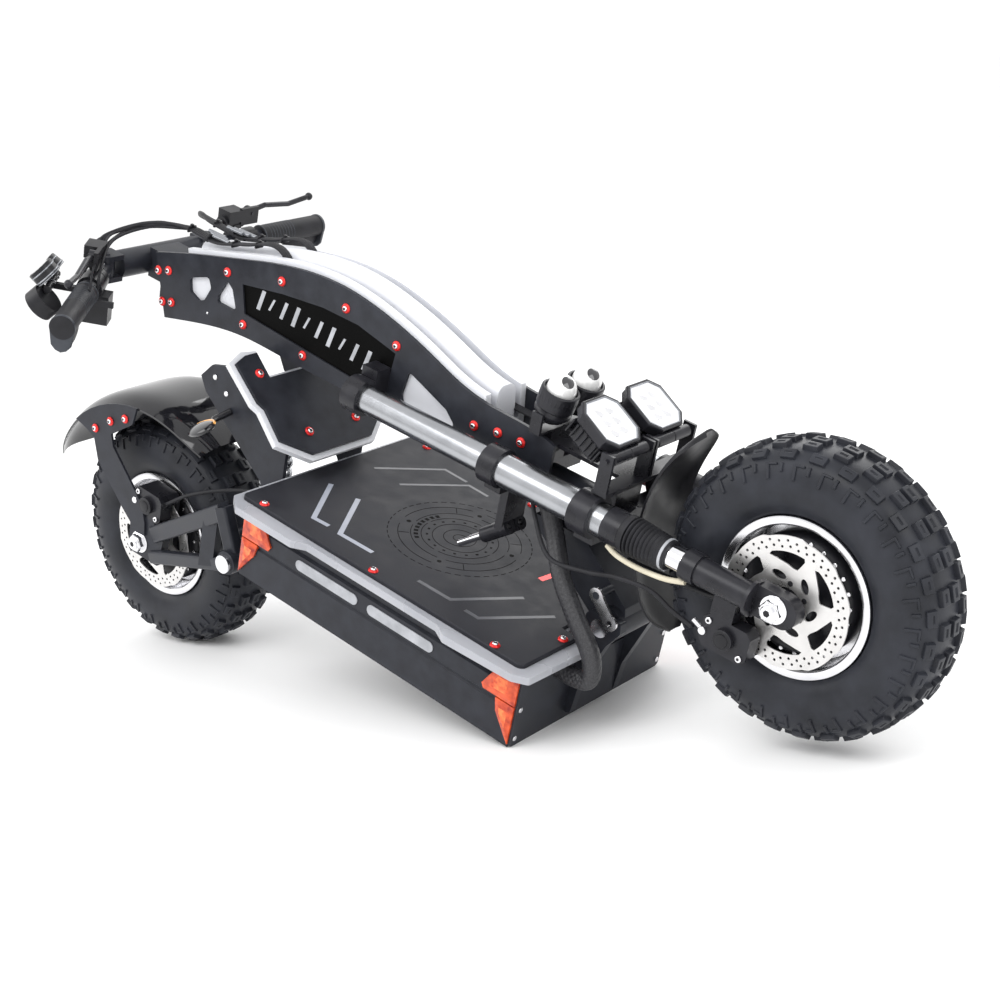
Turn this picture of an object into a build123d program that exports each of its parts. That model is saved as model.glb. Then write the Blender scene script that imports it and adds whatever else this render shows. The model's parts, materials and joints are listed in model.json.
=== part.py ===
from build123d import *
import os
from math import atan2, asin, cos, sin, radians, degrees, hypot, tan, pi

# An electric kick scooter, folded, standing on its rear tyre and the front edge of its deck.
# Everything is drawn in the chassis frame (deck level, millimetres): X forward with zero at the
# front axle, Y to the rider's left with zero on the centre plane, Z up from the deck's underside.
# rest() then pitches the whole scooter nose down onto the floor.

# ---- wheels
TYRE_R = 177.0
TYRE_HALF = 54.0
RIM_R = 96.0
RIM_HALF = 44.0
FRONT_AXLE = (0.0, 307.0)
REAR_AXLE = (-1020.0, -115.0)
AXLE_R = 9.0
ROTOR_R = 80.0
ROTOR_T = 2.0
ROTOR_Y = -58.0
HUB_BOSS = 57.0
BORE_CLEAR = 0.05
SIDES = (-1, 1)

# ---- deck
DECK_REAR = -740.0
DECK_FRONT = -251.0
DECK_HALF = 158.0
SHELL_H = 108.0
PANEL_T = 10.0
PLATE_T = 6.0
END_T = 3.0
WALL = 3.0
PLATE_HALF = 168.0
PLATE_TOP = SHELL_H + PANEL_T + PLATE_T
COUNTERBORE = (7.0, 0.4)
NOTCH_HALF = 58.0
NOTCH_DEPTH = 26.0
SCREW_X = (-704.0, -504.0, -300.0)
LAMP_SPANS = ((-636.0, -523.0), (-505.0, -391.0))
LAMP_Z = 67.0

# ---- fold hinge and steering head
HINGE = (-226.0, 150.0)
PIN_R = 8.0
LEG_TILT = 1.2
HEAD_DROP = 38.0
HEAD_S = (-382.0, -280.0)
HEAD_R = 29.0
BEARING_R = 24.0
STEM_R = 15.0

# ---- fork
LEG_Y = 82.0
TUBE_S = (-640.0, -404.0, -229.0)
TUBE_R = (18.5, 21.0)
STANCHION_R = 14.0
LEG_R = 16.5
UPPER_CLAMP_S = (-650.0, -624.0)
MID_CROWN_S = (-417.0, -392.0)
LOWER_CROWN_S = (-275.0, -247.0)
CROWN_TOP = 284.0
BELLOWS_S = (-204.5, -141.0)
BELLOWS_RIBS = 7

# ---- neck
NECK_OUT = 45.0
NECK_T = 5.0
PANEL_IN = 30.0
SPINE_HALF = 18.0

# ---- handlebar
BAR_HUB = (-1134.0, 286.0)
BAR_PIVOT_Y = 95.0
BAR_R = 11.1
BAR_LEN = 232.0
GRIP_FROM = 108.0
GRIP_R = 16.5
BAR_PIVOT_R = 6.0

# ---- rear foot plate
FOOT_ORIGIN = (-717.0, 157.0)
FOOT_SLOPE = 39.0
FOOT_PLATE_T = 5.0
FOOT_PANEL_T = 8.0

# ---- swingarm and shock absorber
SWING_PIVOT = (-779.0, -11.0)
SWING_KNEE = (-808.0, 52.0)
SWING_Y = 126.0
SWING_BARREL = (105.4, 143.0)
DROPOUT = (70.0, 84.0)
SHOCK_LOW = (-837.2, -21.2)
SHOCK_TOP = (-848.4, 140.0)

# ---- mudguards
FENDER_R = 226.0
GUARD_R = 216.0


# Pitch that puts both the rear tyre and the deck's front edge on the floor.
def resting_pitch():
    dx = DECK_FRONT - REAR_AXLE[0]
    dz = 0.0 - REAR_AXLE[1]
    return degrees(atan2(dz, dx) + asin(TYRE_R / hypot(dx, dz)))


PITCH = resting_pitch()


# Height and run of a chassis point once pitched, before the move to the origin.
def pitched(x, z):
    c = cos(radians(PITCH))
    s = sin(radians(PITCH))
    return (x * c + z * s, z * c - x * s)


# How far each folding bar reaches sideways, to centre the whole width on the origin.
def bar_reach():
    length = BAR_LEN + 4
    a = radians(RIGHT_BAR_FOLD)
    return (length, length * cos(a) + GRIP_R * sin(a))


RIGHT_BAR_FOLD = 38.0
MID_X = (pitched(*FRONT_AXLE)[0] + pitched(*REAR_AXLE)[0]) / 2
MID_Y = (bar_reach()[0] - bar_reach()[1]) / 2
FLOOR_Z = pitched(*REAR_AXLE)[1] - TYRE_R
REST = Pos(-MID_X, -MID_Y, -FLOOR_Z) * Rot(0, PITCH, 0)


# ---- helpers

# A flat outline in X and Z, from width y0 to width y1.
def slab(outline, y0, y1, radius=0):
    face = make_face(Polyline(*outline, close=True))
    if radius:
        face = fillet(face.vertices(), radius)
    return extrude(Plane.XZ.offset(-y1) * face, amount=y1 - y0)


# A round bar or tube between two points.
def rod(a, b, radius, bore=0):
    start = Vector(*a)
    along = Vector(*b) - start
    ring = Circle(radius) - Circle(bore) if bore else Circle(radius)
    return extrude(Plane(origin=start, z_dir=along) * ring, amount=along.length)


# A rectangular bar between two points, its width along Y.
def beam(a, b, width, height, radius=4):
    start = Vector(*a)
    along = Vector(*b) - start
    across = Plane(origin=start, x_dir=(0, 1, 0), z_dir=along)
    return extrude(across * RectangleRounded(width, height, radius), amount=along.length)


# A ring about a Y axis through chassis point (x, z), between two widths.
def hoop(x, z, y0, y1, radius, bore=0):
    return rod((x, y0, z), (x, y1, z), radius, bore)


# A box from its low and high corners.
def block(x0, x1, y0, y1, z0, z1):
    middle = Pos((x0 + x1) / 2, (y0 + y1) / 2, (z0 + z1) / 2)
    return middle * Box(x1 - x0, y1 - y0, z1 - z0)


# A point measured along the fork: s forward from the axle, lift square to the legs.
def fork(s, y=0.0, lift=0.0):
    c = cos(radians(LEG_TILT))
    t = sin(radians(LEG_TILT))
    return (s * c - lift * t, y, FRONT_AXLE[1] + s * t + lift * c)


# A round bar along the fork.
def along_fork(s0, s1, y, radius, bore=0, lift=0.0):
    return rod(fork(s0, y, lift), fork(s1, y, lift), radius, bore)


# A cable that follows straight runs joined by tangent arcs.
def cable(points, radius):
    radii = []
    for before, corner, after in zip(points, points[1:], points[2:]):
        run_in = Vector(*corner) - Vector(*before)
        run_out = Vector(*after) - Vector(*corner)
        turn = radians(run_in.get_angle(run_out))
        radii.append(0.45 * min(run_in.length, run_out.length) / tan(turn / 2))
    path = FilletPolyline(*points, radius=radii)
    print("cable radii", [round(r) for r in radii], "length", round(path.length))
    return sweep(Plane(origin=path @ 0, z_dir=path % 0) * Circle(radius), path=path)


# Both of a mirrored pair, from the piece on the right-hand side.
def pair(piece):
    return [piece, mirror(piece, about=Plane.XZ)]


# Write one sub-part, moved from the chassis frame to its resting place.
def write(name, pieces):
    if not isinstance(pieces, (list, tuple)):
        pieces = [pieces]
    solids = []
    for piece in pieces:
        solids.extend((REST * piece).solids())
    shape = solids[0] if len(solids) == 1 else Compound(children=solids)
    export_step(shape, f"parts/{name}.step")


# ---- wheels: drawn about Z and laid on their side

def wheel_place(axle):
    return Pos(axle[0], 0, axle[1]) * Rot(90, 0, 0)


# Off-road tyre: a hollow carcass open at the rim.
def tyre(axle):
    crown = TYRE_R - 6
    side = 137
    outside = [(RIM_R + 0.3, -40), (side, -TYRE_HALF), (crown, -44), (TYRE_R, -30)]
    shell = make_face(Polyline(*outside, *[(r, -y) for r, y in reversed(outside)], close=True))
    inside = [(RIM_R + 0.3, -30), (RIM_R + 14, -31), (side, -45), (crown - 8, -36)]
    cavity = make_face(Polyline(*inside, *[(r, -y) for r, y in reversed(inside)], close=True))
    section = fillet(shell.vertices().filter_by(lambda v: v.X > RIM_R + 1), 12)
    return wheel_place(axle) * revolve(Plane.XZ * (section - cavity), Axis.Z)


# Motor hub with its side covers, web and silver rim in one casting.
def hub(axle):
    half = [(AXLE_R + BORE_CLEAR, -HUB_BOSS), (32, -HUB_BOSS), (34, -40), (66, -36), (72, -30),
            (74, -8), (84, -8), (84, -38), (83, -RIM_HALF), (RIM_R, -RIM_HALF)]
    outline = half + [(r, -y) for r, y in reversed(half)]
    face = make_face(Polyline(*outline, close=True))
    return wheel_place(axle) * revolve(Plane.XZ * face, Axis.Z)


# Brake rotor: a drilled ring on five spokes round a bolted centre.
def rotor(axle):
    x, z = axle
    ring = Circle(ROTOR_R) - Circle(62)
    centre = Circle(33) - Circle(20)
    spokes = [Rot(0, 0, 72 * k) * Pos(0, 47.5) * Rectangle(13, 40) for k in range(5)]
    plate = ring + centre + spokes
    bolts = [Rot(0, 0, 72 * k + 36) * Pos(26.5, 0) * Circle(3) for k in range(5)]
    disc = extrude(plate - bolts, amount=ROTOR_T)
    return Pos(x, ROTOR_Y, z) * Rot(90, 0, 0) * Pos(0, 0, -ROTOR_T / 2) * disc


# Threaded axle with a nut, a washer and a hub spacer at each end.
def axle(centre, spacer_end, outer_face):
    x, z = centre
    pieces = [hoop(x, z, -(outer_face + 16), outer_face + 16, AXLE_R)]
    nut = extrude(RegularPolygon(14, 6) - Circle(AXLE_R), amount=11)
    for side in SIDES:
        washer_end = outer_face + 2
        y0, y1 = sorted((side * outer_face, side * washer_end))
        pieces.append(hoop(x, z, y0, y1, 17, AXLE_R))
        pieces.append(Pos(x, side * washer_end, z) * Rot(-90 * side, 0, 0) * nut)
        y0, y1 = sorted((side * (HUB_BOSS + 0.3), side * spacer_end))
        pieces.append(hoop(x, z, y0, y1, 14, AXLE_R))
    return pieces


# ---- deck

# Extruded aluminium box: floor and two ribbed sides, open on top and at the ends.
def deck_shell():
    side = [(DECK_HALF, 0), (DECK_HALF, 50), (DECK_HALF - 2.5, 52), (DECK_HALF - 2.5, 54),
            (DECK_HALF, 56), (DECK_HALF, 80), (DECK_HALF - 4, 83), (DECK_HALF - 4, 86),
            (DECK_HALF, 89), (DECK_HALF, 100), (DECK_HALF - 6, SHELL_H)]
    inner = DECK_HALF - WALL - 8
    inside = [(inner, SHELL_H), (inner, 4)]
    right = side + inside
    outline = right + [(-y, z) for y, z in reversed(right)]
    face = make_face(Polyline(*outline, close=True))
    length = DECK_FRONT - DECK_REAR - 2 * END_T
    shell = extrude(Plane.YZ.offset(DECK_REAR + END_T) * face, amount=length)
    for piece in deck_lamps():
        shell -= piece
    return shell


# Flat plates that close the box at each end, with a slot for the cables in front.
def deck_end_plates():
    outline = RectangleRounded(2 * DECK_HALF, SHELL_H, 6)
    plate = extrude(Plane.YZ * Pos(0, SHELL_H / 2) * outline, amount=END_T)
    gland = rod((DECK_FRONT - 5, -83, 88), (DECK_FRONT + 5, -83, 88), 13)
    front = Pos(DECK_FRONT - END_T, 0, 0) * plate - gland
    return [front, Pos(DECK_REAR, 0, 0) * plate]


# One lamp outline on the deck's side: a stadium between two lengths.
def side_lamp(x0, x1):
    middle = Pos((x0 + x1) / 2, LAMP_Z)
    stadium = SlotOverall(x1 - x0, 15)
    return extrude(Plane.XZ.offset(DECK_HALF - 3) * middle * stadium, amount=4.2)


# Corner marker lamp: a lobe that points inward above a tapering tail.
def corner_lamp(end, inward):
    lobe = [(end, 60), (end, 104), (end + inward * 34, 100), (end + inward * 54, 66),
            (end + inward * 50, 60)]
    tail = [(end, 5), (end, 58), (end + inward * 30, 58), (end + inward * 26, 40)]
    y0 = -(DECK_HALF + 2.5)
    y1 = -(DECK_HALF - 4)
    return [slab(lobe, y0, y1), slab(tail, y0, y1)]


# Two light bars and two corner markers on each side.
def deck_lamps():
    right = [side_lamp(*span) for span in LAMP_SPANS]
    right += corner_lamp(DECK_REAR + END_T, 1)
    right += corner_lamp(DECK_FRONT - END_T, -1)
    return [piece for lamp in right for piece in pair(lamp)]


def battery_pack():
    return block(-662, -330, -140, 140, 6, 96)


# Two finned controllers, one for each motor.
def motor_controllers():
    pieces = []
    for x0 in (-732, -322):
        body = block(x0, x0 + 60, -120, 120, 5, 60)
        for k in range(9):
            body += block(x0 + 2, x0 + 58, -108 + 26 * k, -104 + 26 * k, 60, 72)
        pieces.append(body)
    return pieces


# Half outline of the frosted light panel that shows round the deck plate.
def panel_outline():
    half = [(DECK_FRONT + 4, 0), (DECK_FRONT + 20, 70), (DECK_FRONT + 18, 172), (-252, 184),
            (-356, 190), (-378, 178), (-604, 178), (-622, 190), (-726, 190), (-750, 172)]
    return half[1:] + [(x, -y) for x, y in reversed(half[1:])]


# Frosted acrylic under the deck plate and under the foot plate.
def light_panels():
    face = fillet(make_face(Polyline(*panel_outline(), close=True)).vertices(), 5)
    deck = extrude(Plane.XY.offset(SHELL_H) * face, amount=PANEL_T)
    deck -= block(DECK_FRONT - NOTCH_DEPTH + 4, 0, -NOTCH_HALF, NOTCH_HALF, 0, 200)
    foot = extrude(foot_plane(-FOOT_PLATE_T) * foot_outline(0), amount=-FOOT_PANEL_T)
    return [deck, foot]


# Black deck plate with screw holes and a notch round the fold hinge.
def deck_top_plate():
    face = RectangleRounded(490, 2 * PLATE_HALF, 10)
    middle = Pos((DECK_REAR + DECK_FRONT) / 2, 0, SHELL_H + PANEL_T)
    plate = middle * extrude(face, amount=PLATE_T)
    plate = chamfer(plate.faces().sort_by(Axis.Z)[-1].edges(), 1.2)
    radius, depth = COUNTERBORE
    for x, y in deck_screw_places():
        plate -= Pos(x, y, PLATE_TOP) * Cylinder(radius, 2 * depth)
    return plate - block(DECK_FRONT - NOTCH_DEPTH, 0, -NOTCH_HALF, NOTCH_HALF, 0, 200)


def deck_screw_places():
    places = [(x, side * (PLATE_HALF - 8)) for x in SCREW_X for side in SIDES]
    return places + [(-259, side * 78) for side in SIDES]


# A button-head screw on a dished washer: its washer stands on the face, its shank goes in.
def dressed_screw(place, shank):
    up = (Align.CENTER, Align.CENTER, Align.MIN)
    down = (Align.CENTER, Align.CENTER, Align.MAX)
    washer = Cone(6.8, 5.2, 3, align=up)
    head = Pos(0, 0, 3) * Cylinder(3.6, 1.6, align=up)
    return place * (washer + head + Cylinder(2.4, shank, align=down))


# Red-washered screws of the deck plate and the foot plate.
def deck_screws():
    seat = PLATE_TOP - COUNTERBORE[1]
    screws = [dressed_screw(Pos(x, y, seat), 12) for x, y in deck_screw_places()]
    foot = foot_plane(0).location
    for u, v in ((40, 45), (138, 76)):
        for side in SIDES:
            screws.append(dressed_screw(foot * Pos(u, side * v, 0), 9))
    return screws


# ---- fold hinge on the front of the deck

def hinge_bracket():
    x, z = HINGE
    ear = slab([(DECK_FRONT, 10), (DECK_FRONT, 158), (x - 18, z + 16), (x + 12, z + 16),
                (x + 26, z + 18), (x + 28, z + 4), (x + 12, z - 22), (x - 12, 56), (x - 16, 14)],
               -52, -40, 2.5)
    ear -= hoop(x, z, -60, -30, PIN_R)
    foot = slab([(DECK_FRONT, 12), (DECK_FRONT, 92), (DECK_FRONT + 8, 92), (DECK_FRONT + 8, 12)],
                -40, 40)
    return pair(ear) + [foot]


# Fold pin and the two swingarm pivot bolts.
def pivot_pins():
    x, z = HINGE
    pin = hoop(x, z, -54, 54, PIN_R)
    for side in SIDES:
        pin += hoop(x, z, side * 52, side * 57, 12)
    px, pz = SWING_PIVOT
    bolt = hoop(px, pz, -(SWING_BARREL[1] + 4), -90, PIN_R)
    bolt += hoop(px, pz, -(SWING_BARREL[1] + 7), -(SWING_BARREL[1] + 0.4), 13)
    return [pin] + pair(bolt)


# Lugs on the rear of the deck that carry the swingarm, and the side plates of the foot plate.
def rear_brackets():
    x, z = SWING_PIVOT
    rear = DECK_REAR
    lug = slab([(rear, 6), (rear, 70), (rear - 16, 66), (x - 12, z + 12), (x - 15, z - 6),
                (x - 4, z - 16), (x + 12, z - 12)], -105, -90, 4)
    lug -= hoop(x, z, -110, -80, PIN_R)
    side = slab([(rear, 30), (rear, 104), (-755, 106), (-755, foot_underside(-755)),
                 (-846, foot_underside(-846)), (-896, 226), (-914, 220), (-934, 196),
                 (-921, 176), (-851, 129), (-796, 91), (-762, 40)], -78, -72)
    top = hoop(SHOCK_TOP[0], SHOCK_TOP[1], -72, 72, 6)
    return pair(lug) + pair(side) + [top] + stand_bracket()


# Height of the foot plate's underside at a given length.
def foot_underside(x):
    a = radians(FOOT_SLOPE)
    depth = FOOT_PLATE_T + FOOT_PANEL_T
    return FOOT_ORIGIN[1] + (FOOT_ORIGIN[0] - x) * tan(a) - depth / cos(a)


# ---- rear foot plate

# Working plane of the foot plate: its X runs up the slope, its Y across.
def foot_plane(lift):
    a = radians(FOOT_SLOPE)
    normal = Vector(sin(a), 0, cos(a))
    origin = Vector(FOOT_ORIGIN[0], 0, FOOT_ORIGIN[1]) + normal * lift
    return Plane(origin=origin, x_dir=(-cos(a), 0, sin(a)), z_dir=normal)


# Outline with cut corners and a cradle notch for the folded neck.
def foot_outline(inset):
    notch = 58 + inset / 2
    half = [(inset, 60 - inset / 2), (36 + inset / 2, 107 - inset), (88, 104 - inset),
            (100, 110 - inset), (165 - inset / 2, 112 - inset), (176 - inset, 84),
            (172 - inset / 2, notch), (133 - inset / 2, notch)]
    outline = half + [(u, -v) for u, v in reversed(half)]
    return make_face(Polyline(*outline, close=True))


def foot_plate():
    return extrude(foot_plane(-FOOT_PLATE_T) * foot_outline(8), amount=FOOT_PLATE_T)


# Leaf-shaped indicators on short stalks, one each side under the foot plate.
def turn_signals():
    stalk = rod((-868, -78, 168), (-874, -98, 160), 5)
    leaf = Pos(-876, -122, 148) * Rot(28, 0, 0) * Rot(0, 30, 0) * scale(Sphere(1), (34, 27, 7))
    return pair(stalk - leaf) + pair(leaf)


STAND_PIVOT = (-470.0, -9.0)


# Side stand folded under the left edge of the deck.
def kickstand():
    x, z = STAND_PIVOT
    leg = rod((x - 6, 146, z), (x - 235, 146, z - 4), 7)
    foot = rod((x - 235, 146, z - 4), (x - 262, 146, z - 4), 11)
    return leg + foot + hoop(x, z, 137, 155, 8.6) - hoop(x, z, 130, 160, 4.05)


# Clevis under the deck that holds the side stand on its pin.
def stand_bracket():
    x, z = STAND_PIVOT
    pieces = []
    for y in (132, 155.3):
        ear = slab([(x - 10, z - 8), (x - 10, 0), (x + 18, 0), (x + 10, z - 8)], y, y + 4.5)
        pieces.append(ear - hoop(x, z, 120, 170, 4))
    return pieces + [hoop(x, z, 132, 159.8, 4)]


# ---- steering head, hinged to the deck

def steering_head():
    x, z = HINGE
    head = along_fork(*HEAD_S, 0, HEAD_R, lift=-HEAD_DROP)
    arm = slab([(-372, 234), (-290, 236), (x + 14, z + 26), (x + 20, z), (x + 8, z - 18),
                (x - 20, z - 14), (-366, 220)], -30, 30, 3)
    body = head + arm + hoop(x, z, -39.6, 39.6, 22)
    body -= along_fork(HEAD_S[0] - 1, HEAD_S[1] + 1, 0, BEARING_R, lift=-HEAD_DROP)
    body -= hoop(x, z, -60, 60, PIN_R + BORE_CLEAR)
    return body + hoop(LATCH[0], LATCH[1], -61, -29, 5)


LATCH = (-238.0, 192.0)


# Latch link: an eyed strap on the outside of the hinge.
def latch_link():
    x, z = LATCH
    strap = slab([(x - 5, z - 7), (x + 5, z + 7), (x + 33, z - 20), (x + 22, z - 33)],
                 -61, -57.6)
    eyes = hoop(x, z, -61, -57.6, 10) + hoop(x + 27, z - 26, -61, -57.6, 10)
    bores = hoop(x, z, -70, -50, 5.05) + hoop(x + 27, z - 26, -70, -50, 4)
    return strap + eyes - bores


# ---- front frame: stem, crowns, tubes and neck, turned by the handlebar

# Steering stem with its two bearings and top nut.
def steering_stem():
    drop = -HEAD_DROP
    shaft = along_fork(MID_CROWN_S[0] - 8, LOWER_CROWN_S[1] + 6, 0, STEM_R, lift=drop)
    nut = along_fork(MID_CROWN_S[0] - 16, MID_CROWN_S[0] - 8, 0, 19, lift=drop)
    pieces = [shaft + nut]
    for s0, s1 in ((HEAD_S[0], HEAD_S[0] + 12), (HEAD_S[1] - 12, HEAD_S[1])):
        pieces.append(along_fork(s0, s1, 0, BEARING_R - BORE_CLEAR, STEM_R, lift=drop))
    return pieces


# One crown: a bridge with a clamp round each fork tube and a boss round the stem.
def crown(s0, s1, tube_radius):
    body = block(fork(s0)[0], fork(s1)[0], -LEG_Y, LEG_Y, CROWN_TOP - 20, CROWN_TOP)
    body += along_fork(s0, s1, 0, STEM_R + 12, lift=-HEAD_DROP)
    for side in SIDES:
        body += along_fork(s0, s1, side * LEG_Y, tube_radius + 6.5)
    for side in SIDES:
        body -= along_fork(s0 - 5, s1 + 5, side * LEG_Y, tube_radius)
    return body - along_fork(s0 - 5, s1 + 5, 0, STEM_R, lift=-HEAD_DROP)


# Rear clamp of a fork tube: a ring with an ear bolted to the neck plate.
def tube_clamp():
    s0, s1 = UPPER_CLAMP_S
    ring = along_fork(s0, s1, -LEG_Y, TUBE_R[0] + 6)
    x0 = fork(s0)[0]
    x1 = fork(s1)[0]
    z = fork(s0)[2]
    ear = block(x0, x1, -(LEG_Y - 12), -NECK_OUT, z - 4, z + 36)
    return ring + ear - along_fork(s0 + 8, s1 + 5, -LEG_Y, TUBE_R[0])


LOCK_Y = (-52.0, -30.0)
LOCK_START = (-388.0, 212.0)
LOCK_SLOPE = 40.0


# A point s along a lock plunger's axis, from its front end backwards and down.
def lock_point(s, y):
    a = radians(LOCK_SLOPE)
    return (LOCK_START[0] - s * cos(a), y, LOCK_START[1] - s * sin(a))


# Both crowns with the neck tab and plunger housings, the rear tube clamps, the seal collars.
def fork_clamps():
    mid = crown(*MID_CROWN_S, TUBE_R[0])
    mid += block(-417, -392, -(NECK_OUT - NECK_T), NECK_OUT - NECK_T, CROWN_TOP - 2, 318)
    mid += block(-404, -392.5, -62, -20, 205, CROWN_TOP - 15)
    for y in LOCK_Y:
        mid += rod(lock_point(0, y), lock_point(46, y), 10)
    for y in LOCK_Y:
        mid -= rod(lock_point(-20, y), lock_point(50, y), 4.6)
    low = crown(*LOWER_CROWN_S, TUBE_R[1])
    collar = along_fork(TUBE_S[2], BELLOWS_S[0] - 0.3, -LEG_Y, 22.5, STANCHION_R + BORE_CLEAR)
    return [mid, low] + pair(tube_clamp()) + pair(collar)


# Two plungers that lock the folded neck slope down from the mid crown.
def lock_pins():
    return [rod(lock_point(6, y), lock_point(92, y), 4.5) for y in LOCK_Y]


# Silver outer tubes, thicker between the crowns, bored for the stanchions.
def fork_tubes():
    thin = along_fork(TUBE_S[0], TUBE_S[1], -LEG_Y, TUBE_R[0])
    thick = along_fork(TUBE_S[1], TUBE_S[2], -LEG_Y, TUBE_R[1])
    thick -= along_fork(MID_CROWN_S[0], MID_CROWN_S[1], -LEG_Y, 30, TUBE_R[0])
    bore = along_fork(TUBE_S[0] + 12, TUBE_S[2] + 1, -LEG_Y, STANCHION_R + BORE_CLEAR)
    return pair(thin + thick - bore)


# Top and bottom lines of the neck's side profile, rear end first.
NECK_TOP = [(-1086, 318), (-1026, 338), (-927, 367), (-837, 391), (-722, 403), (-626, 389),
            (-565, 372), (-519, 357), (-470, 348), (-400, 346), (-352, 338)]
NECK_BOTTOM = [(-352, 300), (-400, 290), (-461, 286), (-560, 276), (-660, 268), (-760, 265),
               (-834, 265), (-892, 264), (-950, 256), (-1001, 244), (-1056, 229)]


# A neck-shaped slab whose outline is raised above and lowered below the side profile.
def neck_slab(top, bottom, raise_top, raise_bottom, y0, y1):
    upper = [(x, z + raise_top) for x, z in top]
    lower = [(x, z + raise_bottom) for x, z in bottom]
    edges = [Spline(*upper), Polyline(upper[-1], lower[0]), Spline(*lower),
             Polyline(lower[-1], upper[0])]
    return extrude(Plane.XZ.offset(-y1) * make_face(edges), amount=y1 - y0)


WINDOWS = (
    ([(-1012, 307), (-974, 322), (-967, 308), (-978, 286), (-990, 280), (-1008, 287)], 6),
    ([(-937, 331), (-925, 322), (-915, 298), (-921, 293), (-952, 293), (-952, 303)], 3),
    ([(-594, 337), (-567, 328), (-524, 313), (-509, 300), (-509, 284), (-592, 279),
      (-601, 300)], 5),
)
NAME_RECESS = [(-907, 337), (-830, 352), (-755, 362), (-690, 363), (-620, 351), (-625, 308),
               (-666, 287), (-897, 297)]
NECK_SCREWS = ((-1077, 294), (-1056, 301), (-1063, 251), (-1044, 257), (-938, 343), (-834, 369),
               (-714, 377), (-620, 362), (-897, 281), (-779, 283), (-476, 312), (-438, 319),
               (-401, 322))


# Black side plates with three windows and a shallow recess.
def neck_plates():
    plate = neck_slab(NECK_TOP, NECK_BOTTOM, 0, 0, -NECK_OUT, -NECK_OUT + NECK_T)
    for outline, radius in WINDOWS:
        plate -= slab(outline, -NECK_OUT - 1, -NECK_OUT + NECK_T + 1, radius)
    plate -= slab(NAME_RECESS, -NECK_OUT - 1, -NECK_OUT + 2.5)
    return pair(plate)


# White light panels inside the plates and the rounded white spine between them.
def neck_core():
    top = [(x, z) for x, z in NECK_TOP if -1040 <= x <= -470]
    bottom = [(x, z) for x, z in NECK_BOTTOM if -1010 <= x <= -461]
    panel = neck_slab(top, bottom, 7, 3, -NECK_OUT + NECK_T, -PANEL_IN)
    spine = neck_slab(top, bottom, 13, 12, -SPINE_HALF, SPINE_HALF)
    ridge = spine.edges().filter_by(lambda e: e.length > 300).sort_by(Axis.Z)[-2:]
    return pair(panel) + [fillet(ridge, 14)]


# Dressed screws on both side plates, with the spacers that join the plates behind some of them.
def neck_screws():
    screws = []
    for x, z in NECK_SCREWS:
        place = Pos(x, -NECK_OUT, z) * Rot(90, 0, 0)
        screws += pair(dressed_screw(place, NECK_T))
    inside = NECK_OUT - NECK_T
    return screws + [hoop(x, z, -inside, inside, 4.5) for x, z in NECK_SCREWS[4:11]]


# Clamp block between the neck plates with the cross tube that carries the folding bars.
def bar_clamp():
    x, z = BAR_HUB
    root = block(x + 14, -1040, -26, 26, z - 20, z + 24)
    cheek = block(-1076, -1040, -NECK_OUT + NECK_T, NECK_OUT - NECK_T, z - 34, z + 20)
    tube = hoop(x, z, -(BAR_PIVOT_Y - 20), BAR_PIVOT_Y - 20, 20)
    body = root + cheek + tube
    for side in SIDES:
        for low in (-20, 12.5):
            y0 = min(side * (BAR_PIVOT_Y - 21), side * BAR_PIVOT_Y)
            fork_tab = block(x - 15, x + 15, y0, y0 + 21, z + low, z + low + 7.5)
            body += fork_tab + Pos(x, side * BAR_PIVOT_Y, z + low + 3.75) * Cylinder(15, 7.5)
        body += Pos(x, side * BAR_PIVOT_Y, z) * Cylinder(BAR_PIVOT_R, 42)
    return body


FLOOD_FACE = (-281.0, 405.0)
FLOOD_TILT = 27.3
FLOOD_PIVOT = (-250.1, 375.5)
ROUND_FACE = (-372.0, 402.0)
ROUND_TILT = 11.0
ROUND_PIVOT = (-378.8, 366.0)
SHELF = (331.0, 336.0)


# Shelf between the neck plates that carries the four lamps on forked tabs.
def lamp_brackets():
    low, high = SHELF
    inside = NECK_OUT - NECK_T
    body = block(-400, -356, -inside, inside, low, high)
    body += block(-356, -246, -30, 30, low, high)
    body += block(-270, -262, -26, 26, CROWN_TOP, low)
    body += block(-262, -240, -86, 86, low, high)
    x, z = FLOOD_PIVOT
    for y in (-86, -6, 2, 82):
        body += block(x - 9, x + 9, y, y + 4, low, z + 9)
    body += hoop(x, z, -89, 89, 3)
    x, z = ROUND_PIVOT
    body += block(x - 8, x + 8, -28, 28, low, 346.3)
    body += block(x - 8, x + 8, -55, 55, 346.3, 349.3)
    for y in (-55, 51):
        body += block(x - 8, x + 8, y, y + 4, 346.3, z + 8)
    return body + hoop(x, z, -55, 55, 3)


# Two round projector lamps on one cross pivot.
def round_lamps():
    hang = (Align.CENTER, Align.CENTER, Align.MAX)
    lamp = Cylinder(25, 34, align=hang) + Sphere(19)
    lamp += Pos(0, 0, -34) * Cone(10, 25, 13, align=hang)
    place = Rot(0, ROUND_TILT, 0)
    x, z = ROUND_FACE
    pivot = hoop(ROUND_PIVOT[0], ROUND_PIVOT[1], -80, 80, 3.05)
    return [Pos(x, side * 25.2, z) * place * lamp - pivot for side in SIDES]


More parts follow.
